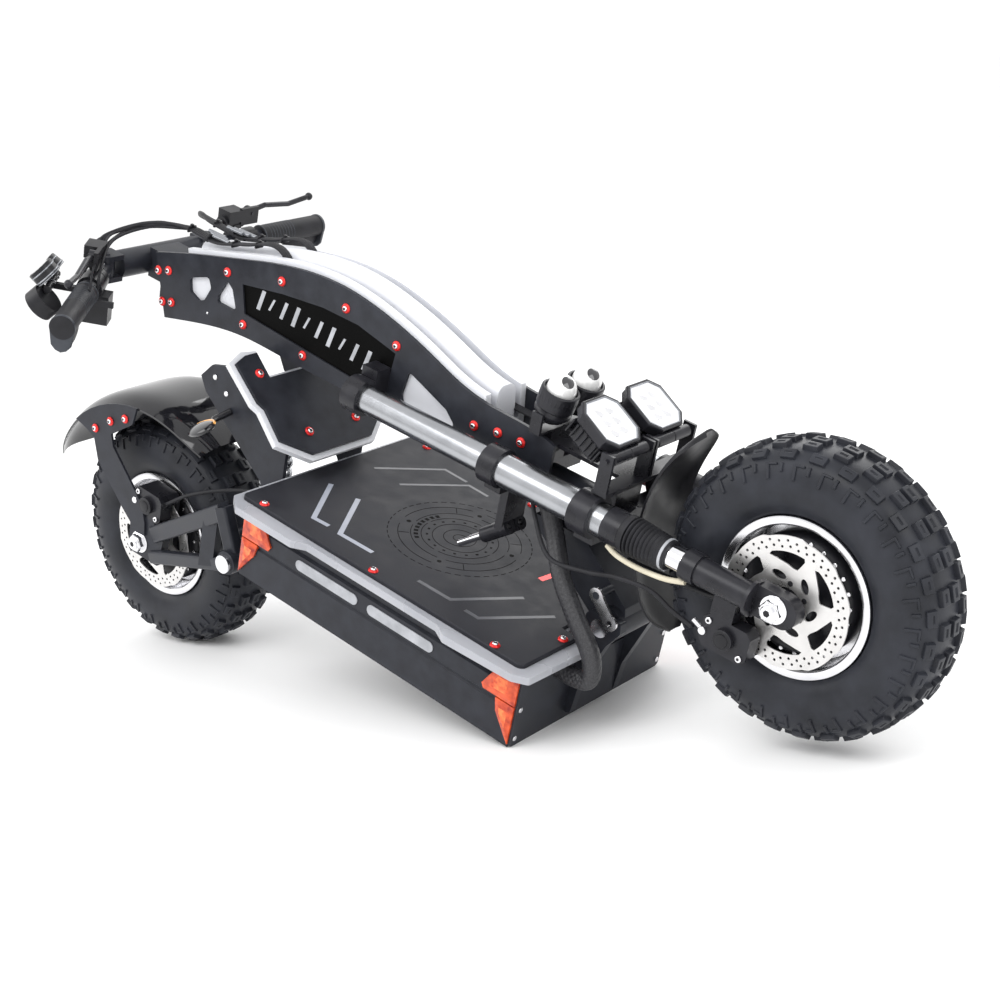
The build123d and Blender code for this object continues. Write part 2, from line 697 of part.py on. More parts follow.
# Octagonal flood lamp with a finned back, on a cross pivot.
def flood_lamp(side):
    lamp = extrude(chamfer(Rectangle(72, 70).vertices(), 14), amount=-16)
    lamp += extrude(chamfer(Rectangle(56, 58).vertices(), 8), amount=-44)
    for k in range(6):
        lamp += Pos(-24 + 9.6 * k, 0, -29) * Box(3, 64, 22)
    lamp += Pos(41, 0, -12) * Rot(90, 0, 0) * Cylinder(8, 68)
    place = Pos(FLOOD_FACE[0], side * 44, FLOOD_FACE[1]) * Rot(0, FLOOD_TILT, 0)
    return place * lamp - hoop(FLOOD_PIVOT[0], FLOOD_PIVOT[1], -100, 100, 3.05)


# ---- folding handlebar halves: local X runs outward along the bar, local Z to the front

def bar_place(side):
    x, z = BAR_HUB
    outward = Vector(sin(radians(RIGHT_BAR_FOLD)), -cos(radians(RIGHT_BAR_FOLD)), 0)
    if side > 0:
        outward = Vector(0, 1, 0)
    return Plane(origin=(x, side * BAR_PIVOT_Y, z), x_dir=outward, z_dir=(0, 0, 1)).location


# Bar along its local X.
def bar_rod(s0, s1, radius, bore=0):
    return rod((s0, 0, 0), (s1, 0, 0), radius, bore)


def handlebar(side):
    eye = Cylinder(14, 24) - Cylinder(BAR_PIVOT_R + BORE_CLEAR, 30)
    neck = bar_rod(10, 34, 12) - Cylinder(BAR_PIVOT_R + BORE_CLEAR, 30)
    return bar_place(side) * (eye + neck + bar_rod(30, BAR_LEN, BAR_R))


# Grip with a palm wing on the rider's side near its outer end.
def grip(side):
    sleeve = bar_rod(GRIP_FROM, BAR_LEN + 4, GRIP_R)
    wing = Pos(BAR_LEN - 34, 0, -16) * scale(Sphere(1), (37, 11, 26))
    return bar_place(side) * (sleeve + wing - bar_rod(GRIP_FROM - 1, BAR_LEN, BAR_R))


# The rider's upward direction along the local Y of each bar.
def bar_up(side):
    return -1 if side < 0 else 1


# A box whose width runs between two heights measured towards the rider's up.
def bar_block(up, s0, s1, u0, u1, z0, z1):
    y0, y1 = sorted((up * u0, up * u1))
    return block(s0, s1, y0, y1, z0, z1)


LEVER_PIVOT = (80.0, 44.0)


# Clamps, master cylinders and switch pods; the right bar also holds the display and horn.
def controls(side):
    up = bar_up(side)
    s, z = LEVER_PIVOT
    master = bar_rod(46, 60, 17, BAR_R) + bar_block(up, 46, 60, -8, 8, 12, 30)
    master += rod((30, up * 4, 32), (68, up * 4, 32), 11)
    master += bar_block(up, 34, 64, -9, 17, 34, 52)
    master += bar_block(up, 58, 92, -9, -3, 28, 54)
    master -= hoop(s, z, -20, 20, 3)
    pod = bar_rod(64, 92, 18) + bar_block(up, 64, 92, -28, 12, -50, -8)
    pod -= bar_rod(60, 96, BAR_R) + Pos(*BUTTON, -49) * Cylinder(5.2, 14)
    pieces = [master - bar_rod(40, 64, BAR_R), pod]
    if side < 0:
        gauge = bar_rod(94, 102, 15) + bar_block(up, 94, 102, 10, 50, -4, 4) - bar_rod(90, 104, BAR_R)
        gauge += beam((80, up * 48, 10), (138, up * 46, 8), 10, 10)
        gauge += rod((84, up * 50, 12), (84, up * 66, 22), 20)
        gauge += rod((128, up * 46, 22), (128, up * 60, 34), 19)
        gauge += rod((134, up * 44, -4), (134, up * 58, -20), 23)
        pieces.append(gauge)
    return [bar_place(side) * piece for piece in pieces]


BUTTON = (78.0, 12.0)


# Brake lever: a slim blade that curves out in front of the grip.
def brake_lever(side):
    up = bar_up(side)
    s, z = LEVER_PIVOT
    eye = bar_lever_rod(up, (s, -2.6, z), (s, 5.4, z), 9)
    bolt = bar_lever_rod(up, (s, -10, z), (s, 7, z), 2.95)
    path = [(s, up * 1.4, z), (s + 34, up * 1.4, z + 6), (s + 84, up * 1.4, z + 1),
            (s + 128, up * 1.4, z + 7)]
    blade = rod(path[0], path[1], 4)
    for a, b in zip(path[1:], path[2:]):
        blade += rod(a, b, 4) + Pos(*a) * Sphere(4)
    return bar_place(side) * (eye + bolt + blade + Pos(*path[-1]) * Sphere(6))


# A round bar across the local Y of a bar, measured towards the rider's up.
def bar_lever_rod(up, a, b, radius):
    return rod((a[0], up * a[1], a[2]), (b[0], up * b[1], b[2]), radius)


# Thumb paddle of the throttle, turning round the right bar.
def throttle():
    ring = bar_rod(102.5, 107.5, 15) + block(102.5, 107.5, 12, 38, -16, -8)
    return bar_place(-1) * (ring - bar_rod(90, 120, BAR_R + BORE_CLEAR))


def red_button():
    return bar_place(-1) * (Pos(*BUTTON, -48.5) * Cylinder(5, 7))


# ---- fork lower: stanchions, legs, bellows, mudguard and caliper, sliding along the fork

def fork_stanchions():
    return pair(along_fork(-420, -86, -LEG_Y, STANCHION_R))


# Black lower legs with their seal rings, flared flange, axle lug and caliper tab.
def fork_legs():
    x, z = FRONT_AXLE
    body = along_fork(-100, -26, -LEG_Y, LEG_R) + along_fork(-119, -100, -LEG_Y, 19)
    body += along_fork(-30, -24, -LEG_Y, 22)
    body -= block(-26, 60, -120, -84.2, 200, 400)
    body += block(-30, x + 10, -84, -66, z - 19, z + 19) + hoop(x + 10, z, -84, -66, 19)
    body += block(-74, -44, -84, -66, CALIPER_TOP, z - 8)
    body -= hoop(x, z, -120, -50, AXLE_R)
    body -= along_fork(-130, -86, -LEG_Y, STANCHION_R)
    return pair(body)


# Ribbed rubber boots round the stanchions.
def bellows():
    s0, s1 = BELLOWS_S
    pitch = (s1 - s0 - 8) / BELLOWS_RIBS
    boot = along_fork(s1 - 8, s1, -LEG_Y, 18, STANCHION_R)
    for k in range(BELLOWS_RIBS):
        s = s0 + pitch * k
        boot += along_fork(s, s + pitch * 0.62, -LEG_Y, 24 - 0.5 * k, STANCHION_R + 1)
        boot += along_fork(s + pitch * 0.62, s + pitch, -LEG_Y, 19.5, STANCHION_R + 1)
    return pair(boot)


# A curved sheet about a Y axis: crowned across its width, between two angles.
def guard_band(centre, radius, half, start, end):
    outer = [(radius - 12, -half), (radius - 3, -half * 0.7), (radius, 0), (radius - 3, half * 0.7),
             (radius - 12, half)]
    inner = [(r - GUARD_T, y * (half - GUARD_T) / half) for r, y in reversed(outer)]
    face = make_face([Spline(*outer), Polyline(outer[-1], inner[0]), Spline(*inner),
                      Polyline(inner[-1], outer[0])])
    band = revolve(Plane.XZ * face, Axis.Z, end - start)
    return Pos(centre[0], 0, centre[1]) * Rot(90, 0, 0) * Rot(0, 0, start) * band


GUARD_T = 3.0


# Curved guard behind the front tyre, with a bent stay to each leg.
def front_mudguard():
    body = guard_band(FRONT_AXLE, GUARD_R, 50, 146, 222)
    path = [(-204, -45, 257), (-194, -66, 262), (-84, -68, 275), (-74, -76, 284)]
    stay = rod(path[0], path[1], 3.5)
    for a, b in zip(path[1:], path[2:]):
        stay += rod(a, b, 3.5) + Pos(*a) * Sphere(3.5)
    return body + stay + mirror(stay, about=Plane.XZ)


CALIPER_TOP = 263.0


# Two-piston caliper straddling the rotor: low and high corners of its body in X and Z.
def caliper(axle_at, x0, x1, z0, z1):
    x, z = axle_at
    body = block(x0, x1, -84, -48, z0, z1)
    body = chamfer(body.edges().filter_by(Axis.Y), 7)
    body -= hoop(x, z, -62.5, -53.5, ROTOR_R + 4)
    mid_x = (x0 + x1) / 2
    mid_z = (z0 + z1) / 2
    reach = hypot(mid_x - x, mid_z - z)
    px = x + (mid_x - x) * 71 / reach
    pz = z + (mid_z - z) * 71 / reach
    body += hoop(px, pz, -63, -59.4, 9) + hoop(px, pz, -56.6, -53, 9)
    return body + hoop(mid_x, mid_z, -90, -83, 13)


def front_caliper():
    return caliper(FRONT_AXLE, -80, -16, 221, CALIPER_TOP)


# ---- swingarm: drawn on the right and mirrored

def swingarm():
    x, z = REAR_AXLE
    px, pz = SWING_PIVOT
    kx, kz = SWING_KNEE
    drop = (DROPOUT[0] + DROPOUT[1]) / 2 + 3
    side = beam((x + 30, -drop, z + 27), (kx, -SWING_Y, kz), 18, 26)
    side += beam((x + 28, -drop, z - 13), (px, -SWING_Y, pz - 8), 16, 20)
    side += beam((kx - 4, -SWING_Y, kz + 6), (px + 2, -SWING_Y, pz), 18, 24)
    side += hoop(px, pz, -SWING_BARREL[1], -SWING_BARREL[0], 17)
    side += slab([(x - 24, z - 24), (x - 26, z + 45), (x + 24, z + 45), (x + 50, z + 32),
                  (x + 44, z - 22)], -DROPOUT[1], -DROPOUT[0], 6)
    lx, lz = SHOCK_LOW
    side += slab([(lx - 14, lz - 36), (lx - 14, lz + 40), (lx + 14, lz + 56), (lx + 14, lz - 24)],
                 -124, -112)
    side += hoop(lx, lz, -120, -18, 11)
    side += hoop(lx, lz, -20, 1, 6)
    side -= hoop(px, pz, -160, -90, PIN_R + BORE_CLEAR)
    side -= hoop(x, z, -100, -60, AXLE_R)
    side -= block(px - 24, px + 24, -(SWING_BARREL[0]), -60, pz - 30, pz + 30)
    return side + mirror(side, about=Plane.XZ)


def rear_caliper():
    x, z = REAR_AXLE
    return caliper(REAR_AXLE, x - 20, x + 38, z + 45, z + 89) - swingarm()


# Point at a radius and angle about the rear axle.
def about_rear(radius, angle):
    a = radians(angle)
    return (REAR_AXLE[0] + radius * cos(a), REAR_AXLE[1] + radius * sin(a))


# Crowned rear mudguard hung on two side plates that bolt to the dropouts.
def rear_fender():
    body = guard_band(REAR_AXLE, FENDER_R, 84, 62, 165)
    x, z = REAR_AXLE
    arc = [about_rear(213, angle) for angle in (100, 110, 120, 130, 140, 150, 160, 166)]
    back = [about_rear(172, angle) for angle in (162, 156)]
    side = slab(arc + back + [(x - 26, z + 20), (x - 20, z + 44), about_rear(160, 112),
                              about_rear(186, 100)], -88, -82, 3)
    return body + side + mirror(side, about=Plane.XZ)


# ---- rear shock absorber

# A point t down the shock's axis from its upper eye.
def shock(t):
    dx = SHOCK_LOW[0] - SHOCK_TOP[0]
    dz = SHOCK_LOW[1] - SHOCK_TOP[1]
    length = hypot(dx, dz)
    return (SHOCK_TOP[0] + dx * t / length, 0, SHOCK_TOP[1] + dz * t / length)


SHOCK_L = hypot(SHOCK_LOW[0] - SHOCK_TOP[0], SHOCK_LOW[1] - SHOCK_TOP[1])
SPRING_T = (26.2, 130.0)


def shock_body():
    eye = hoop(SHOCK_TOP[0], SHOCK_TOP[1], -12, 12, 13)
    body = eye + rod(shock(6), shock(92), 15) + rod(shock(20), shock(26), 25)
    body -= hoop(SHOCK_TOP[0], SHOCK_TOP[1], -20, 20, 6)
    return body - rod(shock(24), shock(94), 6.05)


def shock_rod():
    body = rod(shock(42), shock(SHOCK_L - 6), 6) + rod(shock(130.3), shock(136), 25)
    body += hoop(SHOCK_LOW[0], SHOCK_LOW[1], -14, 14, 14)
    return body - hoop(SHOCK_LOW[0], SHOCK_LOW[1], -30, 30, 7.2)


# Coil spring between the two cups.
def shock_spring():
    wire = 4.0
    t0 = SPRING_T[0] + wire + 0.1
    height = SPRING_T[1] - SPRING_T[0] - 2 * wire - 0.2
    axis = Vector(*shock(SHOCK_L)) - Vector(*shock(0))
    path = Helix(height / 6, height, 20.5)
    coil = sweep(Plane(origin=path @ 0, z_dir=path % 0) * Circle(wire), path=path)
    return Plane(origin=shock(t0), z_dir=axis).location * coil


# ---- cables and hoses

# Braided loom from the deck's front plate up to the neck.
def cable_loom():
    points = [(-275, -83, 88), (-205, -84, 88), (-207, -84, 130), (-250, -80, 168),
              (-285, -72, 200), (-320, -54, 238), (-348, -50, 282)]
    return cable(points, 12)


# Bar cables that lie along the top of the neck, sink into it and run to the lamps; the front
# brake hose hangs from the neck to the caliper.
def brake_hoses():
    hoses = [cable([(-356, -64, 276), (-334, -82, 262), (-284, -90, 211), (-192, -90, 248),
                    (-120, -88, 244), (-81, -84, 240)], 2.8)]
    for side in SIDES:
        lead = [(-1124, -117, 318), (-1133, -96, 340), (-1104, -50, 362)]
        if side > 0:
            lead = [(-1138, 117, 318), (-1142, 84, 342), (-1104, 50, 362)]
        for gap in (21, 27):
            step = gap - 24
            start = [(x + step, y - side * step, z + 1.2 * step) for x, y, z in lead]
            inside = [(-1046, side * gap, 366), (-986, side * gap, 364), (-930, side * gap, 381),
                      (-856, side * gap, 402), (-796, side * gap, 344), (-700, side * gap, 328),
                      (-362, side * gap, 324)]
            hoses.append(cable(start + inside, 2.3))
    return hoses


# Hose from the deck to the rear caliper.
def rear_hose():
    return cable([(-741, -60, 70), (-800, -60, 62), (-862, -64, 42), (-930, -76, 6),
                  (-979.5, -76, -33)], 2.8)


# Remove some pieces from the others they pass through.
def carve(targets, cutters):
    if not isinstance(targets, (list, tuple)):
        targets = [targets]
    carved = []
    for target in targets:
        box = target.bounding_box()
        for cutter in cutters:
            other = cutter.bounding_box()
            if overlaps(box, other):
                target = target - cutter
        carved.append(target)
    return carved


# Whether two bounding boxes meet.
def overlaps(a, b):
    return all(lo <= hi for lo, hi in (
        (a.min.X, b.max.X), (b.min.X, a.max.X), (a.min.Y, b.max.Y),
        (b.min.Y, a.max.Y), (a.min.Z, b.max.Z), (b.min.Z, a.max.Z)))


if __name__ == "__main__":
    os.makedirs("parts", exist_ok=True)
    # the deck and what is bolted to it
    screws = deck_screws()
    write("deck_shell", deck_shell())
    write("deck_end_plates", deck_end_plates())
    write("battery_pack", battery_pack())
    write("motor_controllers", motor_controllers())
    write("light_panels", carve(light_panels(), screws))
    write("deck_top_plate", carve(deck_top_plate(), screws))
    write("foot_plate", carve(foot_plate(), screws))
    write("deck_screws", screws)
    write("deck_lamps", deck_lamps())
    write("hinge_bracket", hinge_bracket())
    write("pivot_pins", pivot_pins())
    write("rear_brackets", rear_brackets())
    write("turn_signals", carve(turn_signals(), rear_brackets()))
    write("cable_loom", cable_loom())
    write("kickstand", kickstand())
    # the steering head, the front frame and the lamps
    fasteners = neck_screws()
    write("latch_link", latch_link())
    write("steering_head", steering_head())
    write("steering_stem", steering_stem())
    write("fork_clamps", fork_clamps())
    write("fork_tubes", fork_tubes())
    write("neck_plates", carve(neck_plates(), fasteners))
    write("neck_core", carve(neck_core(), fasteners))
    write("neck_screws", fasteners)
    write("bar_clamp", bar_clamp())
    write("lamp_brackets", carve(lamp_brackets(), [crown(*LOWER_CROWN_S, TUBE_R[1])]))
    write("brake_hoses", brake_hoses())
    write("lock_pins", lock_pins())
    write("round_lamps", round_lamps())
    write("flood_lamp_right", flood_lamp(-1))
    write("flood_lamp_left", flood_lamp(1))
    # the folding handlebar
    for side, name in ((-1, "right"), (1, "left")):
        write(f"handlebar_{name}", handlebar(side))
        write(f"grip_{name}", grip(side))
        write(f"controls_{name}", controls(side))
        write(f"brake_lever_{name}", brake_lever(side))
    write("throttle", throttle())
    write("red_button", red_button())
    # the sliding fork and the front wheel
    write("fork_legs", fork_legs())
    write("fork_stanchions", fork_stanchions())
    write("fork_bellows", bellows())
    write("front_mudguard", carve(front_mudguard(), fork_legs()))
    write("front_caliper", front_caliper())
    write("front_axle", axle(FRONT_AXLE, 66, 84))
    write("front_tyre", tyre(FRONT_AXLE))
    write("front_hub_rim", hub(FRONT_AXLE))
    write("front_rotor", rotor(FRONT_AXLE))
    # the swingarm, the rear wheel and the shock absorber
    write("swingarm", swingarm())
    write("rear_fender", carve(rear_fender(), [swingarm()]))
    write("rear_caliper", rear_caliper())
    write("rear_axle", axle(REAR_AXLE, DROPOUT[0], DROPOUT[1]))
    write("rear_tyre", tyre(REAR_AXLE))
    write("rear_hub_rim", hub(REAR_AXLE))
    write("rear_rotor", rotor(REAR_AXLE))
    write("shock_body", shock_body())
    write("shock_rod", shock_rod())
    write("shock_spring", shock_spring())
    write("rear_hose", rear_hose())
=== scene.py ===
import json
from math import cos, hypot, pi, radians, sin

import bmesh
import bpy
from mathutils import Matrix, Vector


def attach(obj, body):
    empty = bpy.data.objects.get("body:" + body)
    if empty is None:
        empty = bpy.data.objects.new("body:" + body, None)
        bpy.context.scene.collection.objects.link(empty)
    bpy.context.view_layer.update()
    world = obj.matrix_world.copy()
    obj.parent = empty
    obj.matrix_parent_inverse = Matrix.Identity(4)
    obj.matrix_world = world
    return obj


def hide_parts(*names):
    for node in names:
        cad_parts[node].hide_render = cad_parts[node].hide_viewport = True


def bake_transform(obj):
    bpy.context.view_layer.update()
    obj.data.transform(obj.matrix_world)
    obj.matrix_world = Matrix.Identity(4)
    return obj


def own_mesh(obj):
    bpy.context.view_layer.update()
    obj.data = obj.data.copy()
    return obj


# The looks of a folded electric kick scooter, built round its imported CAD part.
# Pieces are drawn in the chassis frame: millimetres, deck level, X forward with zero at the front
# axle, Y to the rider's left, Z up from the deck's underside.

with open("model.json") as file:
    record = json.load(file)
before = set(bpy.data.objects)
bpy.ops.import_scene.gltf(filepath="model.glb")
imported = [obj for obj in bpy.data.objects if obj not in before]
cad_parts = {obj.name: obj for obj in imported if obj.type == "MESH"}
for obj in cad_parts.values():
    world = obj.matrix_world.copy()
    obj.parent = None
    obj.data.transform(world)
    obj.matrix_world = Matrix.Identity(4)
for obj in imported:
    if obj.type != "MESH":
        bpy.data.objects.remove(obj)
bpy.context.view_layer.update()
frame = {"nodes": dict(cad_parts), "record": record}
record = frame["record"]
nodes = frame["nodes"]
joints = {joint["name"]: joint for joint in record["behaviour"]["joints"]}

MM = 0.001
UP = Vector(next(m for m in record["mounts"] if m["name"] == "deck_top")["axis"]).normalized()
SIDE = Vector((0, 1, 0))
AHEAD = SIDE.cross(UP)
FRONT_AXLE = Vector((0, 0, 307))
REAR_AXLE = Vector((-1020, 0, -115))
ORIGIN = Vector(joints["front_wheel_spin"]["pos_m"]) - UP * FRONT_AXLE.z * MM
AXES = Matrix((AHEAD, SIDE, UP)).transposed().to_4x4()
CHASSIS = Matrix.Translation(ORIGIN) @ AXES @ Matrix.Scale(MM, 4)
SIDES = (-1, 1)
SIDE_NAMES = ((-1, "right"), (1, "left"))
LEG_Y = 82
LEG_TILT = 1.2


# A point along the fork: s forward of the front axle, lift square to the legs.
def fork(s, y=0.0, lift=0.0):
    c = cos(radians(LEG_TILT))
    t = sin(radians(LEG_TILT))
    return Vector((s * c - lift * t, y, FRONT_AXLE.z + s * t + lift * c))


# A matrix at origin whose local Z points along direction and whose local X leans to hint.
def place(origin, direction, hint=(1, 0, 0)):
    z = Vector(direction).normalized()
    x = Vector(hint) - z * z.dot(Vector(hint))
    if x.length < 1e-6:
        x = z.orthogonal()
    x.normalize()
    turn = Matrix((x, z.cross(x), z)).transposed().to_4x4()
    return Matrix.Translation(Vector(origin)) @ turn


def link(thing):
    bpy.context.scene.collection.objects.link(thing)
    return thing


# ---- mesh tools, all in chassis millimetres

# Faces between closed rings of equal length.
def skin(bm, rings, mat=0):
    for low, high in zip(rings, rings[1:]):
        for k in range(len(low)):
            n = (k + 1) % len(low)
            bm.faces.new((low[k], low[n], high[n], high[k])).material_index = mat


# Turn a profile of radius and height about the local Z of where.
def revolve(bm, profile, where, steps=48, mat=0):
    rings = []
    for radius, z in profile:
        if radius < 1e-6:
            rings.append([bm.verts.new(where @ Vector((0, 0, z)))])
            continue
        circle = ring_points(0, 0, radius, steps)
        rings.append([bm.verts.new(where @ Vector((x, y, z))) for x, y in circle])
    for low, high in zip(rings, rings[1:]):
        for k in range(steps):
            n = (k + 1) % steps
            corners = [low[k % len(low)], low[n % len(low)],
                       high[n % len(high)], high[k % len(high)]]
            unique = list(dict.fromkeys(corners))
            if len(unique) > 2:
                bm.faces.new(unique).material_index = mat


# A round bar between two points, with its ends chamfered.
def drum(bm, start, end, radius, mat=0, steps=32, edge=0.6):
    start = Vector(start)
    end = Vector(end)
    length = (end - start).length
    edge = min(edge, radius / 3, length / 3)
    profile = [(0, 0), (radius - edge, 0), (radius, edge), (radius, length - edge),
               (radius - edge, length), (0, length)]
    revolve(bm, profile, place(start, end - start), steps, mat)


def box(bm, size, where, mat=0, bevel=0.8):
    made = bmesh.ops.create_cube(bm, size=1, matrix=where @ Matrix.Diagonal((*size, 1)))
    verts = made["verts"]
    for vert in verts:
        for face in vert.link_faces:
            face.material_index = mat
    if bevel:
        edges = list(dict.fromkeys(e for v in verts for e in v.link_edges))
        bmesh.ops.bevel(bm, geom=edges, offset=bevel, segments=2, affect="EDGES", profile=0.5,
                        material=mat)


# A flat outline pushed up from the local XY plane, with its upper edge chamfered.
def prism(bm, outline, depth, where, mat=0, chamfer=0.6):
    middle = Vector((sum(p[0] for p in outline), sum(p[1] for p in outline))) / len(outline)
    reach = max((Vector(p) - middle).length for p in outline)
    inner = [middle + (Vector(p) - middle) * (1 - chamfer / reach) for p in outline]
    levels = [(outline, 0), (outline, depth - chamfer), (inner, depth)]
    if depth <= chamfer:
        levels = [(outline, 0), (outline, depth)]
    rings = [[bm.verts.new(where @ Vector((p[0], p[1], z))) for p in line] for line, z in levels]
    skin(bm, rings, mat)
    bm.faces.new(rings[-1]).material_index = mat
    bm.faces.new(list(reversed(rings[0]))).material_index = mat


# Points of a smooth curve through the given points.
def smooth(points, per_span=8):
    pts = [Vector(p) for p in points]
    pts = [2 * pts[0] - pts[1]] + pts + [2 * pts[-1] - pts[-2]]
    line = []
    for a, b, c, d in zip(pts, pts[1:], pts[2:], pts[3:]):
        for k in range(per_span):
            t = k / per_span
            line.append(0.5 * (2 * b + (c - a) * t + (2 * a - 5 * b + 4 * c - d) * t * t
                               + (3 * b - a - 3 * c + d) * t ** 3))
    return line + [pts[-2]]


# A round sweep along a line of points; swell(angle, distance) may add to its radius.
def sweep(bm, line, radius, sides=12, mat=0, swell=None):
    tangent = (line[1] - line[0]).normalized()
    normal = tangent.orthogonal().normalized()
    rings = []
    distance = 0.0
    for k, point in enumerate(line):
        ahead = line[min(k + 1, len(line) - 1)] - line[max(k - 1, 0)]
        turn = tangent.rotation_difference(ahead.normalized())
        tangent = ahead.normalized()
        normal = (turn @ normal).normalized()
        if k:
            distance += (point - line[k - 1]).length
        across = tangent.cross(normal)
        ring = []
        for j in range(sides):
            a = 2 * pi * j / sides
            r = radius + (swell(a, distance) if swell else 0)
            ring.append(bm.verts.new(point + normal * r * cos(a) + across * r * sin(a)))
        rings.append(ring)
    skin(bm, rings, mat)
    bm.faces.new(list(reversed(rings[0]))).material_index = mat
    bm.faces.new(rings[-1]).material_index = mat


def hexagon(radius):
    return [(radius * cos(pi * k / 3), radius * sin(pi * k / 3)) for k in range(6)]


# A mesh from filled flat curves, outlines and holes alike, thickened both ways from its plane.
def plate_from_curves(name, outlines, half_thickness, where):
    curve = bpy.data.curves.new(name, "CURVE")
    curve.dimensions = "2D"
    curve.fill_mode = "BOTH"
    curve.extrude = half_thickness
    for outline in outlines:
        spline = curve.splines.new("POLY")
        spline.points.add(len(outline) - 1)
        for point, (x, y) in zip(spline.points, outline):
            point.co = (x, y, 0, 1)
        spline.use_cyclic_u = True
    carrier = link(bpy.data.objects.new(name, curve))
    view = bpy.context.evaluated_depsgraph_get()
    mesh = bpy.data.meshes.new_from_object(carrier.evaluated_get(view))
    bpy.data.objects.remove(carrier)
    mesh.transform(where)
    return mesh


# Link a finished mesh, drawn in chassis millimetres, as a piece that rides on a body.
def add_piece(name, shape, body, keys, replaced=(), sharp=32, bevel=0.0):
    if isinstance(shape, bmesh.types.BMesh):
        bmesh.ops.recalc_face_normals(shape, faces=shape.faces)
        mesh = bpy.data.meshes.new(name)
        shape.to_mesh(mesh)
        shape.free()
    else:
        mesh = shape
    mesh.transform(CHASSIS)
    for key in keys:
        mesh.materials.append(MAT[key])
    mesh.shade_smooth()
    mesh.set_sharp_from_angle(angle=radians(sharp))
    piece = link(bpy.data.objects.new(name, mesh))
    if bevel:
        rounding = piece.modifiers.new("edges", "BEVEL")
        rounding.width = bevel * MM
        rounding.segments = 2
        rounding.limit_method = "ANGLE"
        rounding.angle_limit = radians(35)
    if body:
        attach(piece, body)
    if replaced:
        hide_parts(*replaced)
    return piece

# ---- materials

def noise(tree, scale, detail):
    coords = tree.nodes.new("ShaderNodeTexCoord")
    node = tree.nodes.new("ShaderNodeTexNoise")
    node.inputs["Scale"].default_value = scale
    node.inputs["Detail"].default_value = detail
    tree.links.new(coords.outputs["Object"], node.inputs["Vector"])
    return node.outputs["Fac"]


# The noise values that get the low and the high end of a colour or roughness.
CLOUD_RANGE = (0.3, 0.7)


def ramp(tree, source, colours):
    node = tree.nodes.new("ShaderNodeValToRGB")
    for stop, position, colour in zip(node.color_ramp.elements, CLOUD_RANGE, colours):
        stop.position = position
        stop.color = (*colour, 1)
    tree.links.new(source, node.inputs["Fac"])
    return node.outputs["Color"]


def spread(tree, source, rough):
    node = tree.nodes.new("ShaderNodeMapRange")
    for end, position, value in zip(("Min", "Max"), CLOUD_RANGE, rough):
        node.inputs["From " + end].default_value = position
        node.inputs["To " + end].default_value = value
    tree.links.new(source, node.inputs["Value"])
    return node.outputs["Result"]


# A surface with cloudy colour and gloss, and a grain that stands up by depth millimetres.
def surface(name, dark, light, rough, metal=0.0, cloud=40.0, grain=900.0, depth=0.05,
            coat=0.0, gloss=0.5, extra=None):
    mat = bpy.data.materials.new(name)
    mat.use_nodes = True
    tree = mat.node_tree
    shader = tree.nodes["Principled BSDF"]
    cloudy = noise(tree, cloud, 4.0)
    fine = noise(tree, grain, 2.0)
    tree.links.new(ramp(tree, cloudy, (dark, light)), shader.inputs["Base Color"])
    tree.links.new(spread(tree, cloudy, rough), shader.inputs["Roughness"])
    bump = tree.nodes.new("ShaderNodeBump")
    bump.inputs["Strength"].default_value = 0.6
    bump.inputs["Distance"].default_value = depth * MM
    tree.links.new(fine, bump.inputs["Height"])
    tree.links.new(bump.outputs["Normal"], shader.inputs["Normal"])
    values = {"Metallic": metal, "Coat Weight": coat, "Coat Roughness": 0.08,
              "Specular IOR Level": gloss, **(extra or {})}
    for key, value in values.items():
        shader.inputs[key].default_value = value
    return mat


# Subsurface and transmission of a milky plastic.
def milky(depth, clear):
    return {"Subsurface Weight": depth, "Subsurface Radius": (1.0, 1.0, 1.0),
            "Subsurface Scale": 0.01, "Transmission Weight": clear}


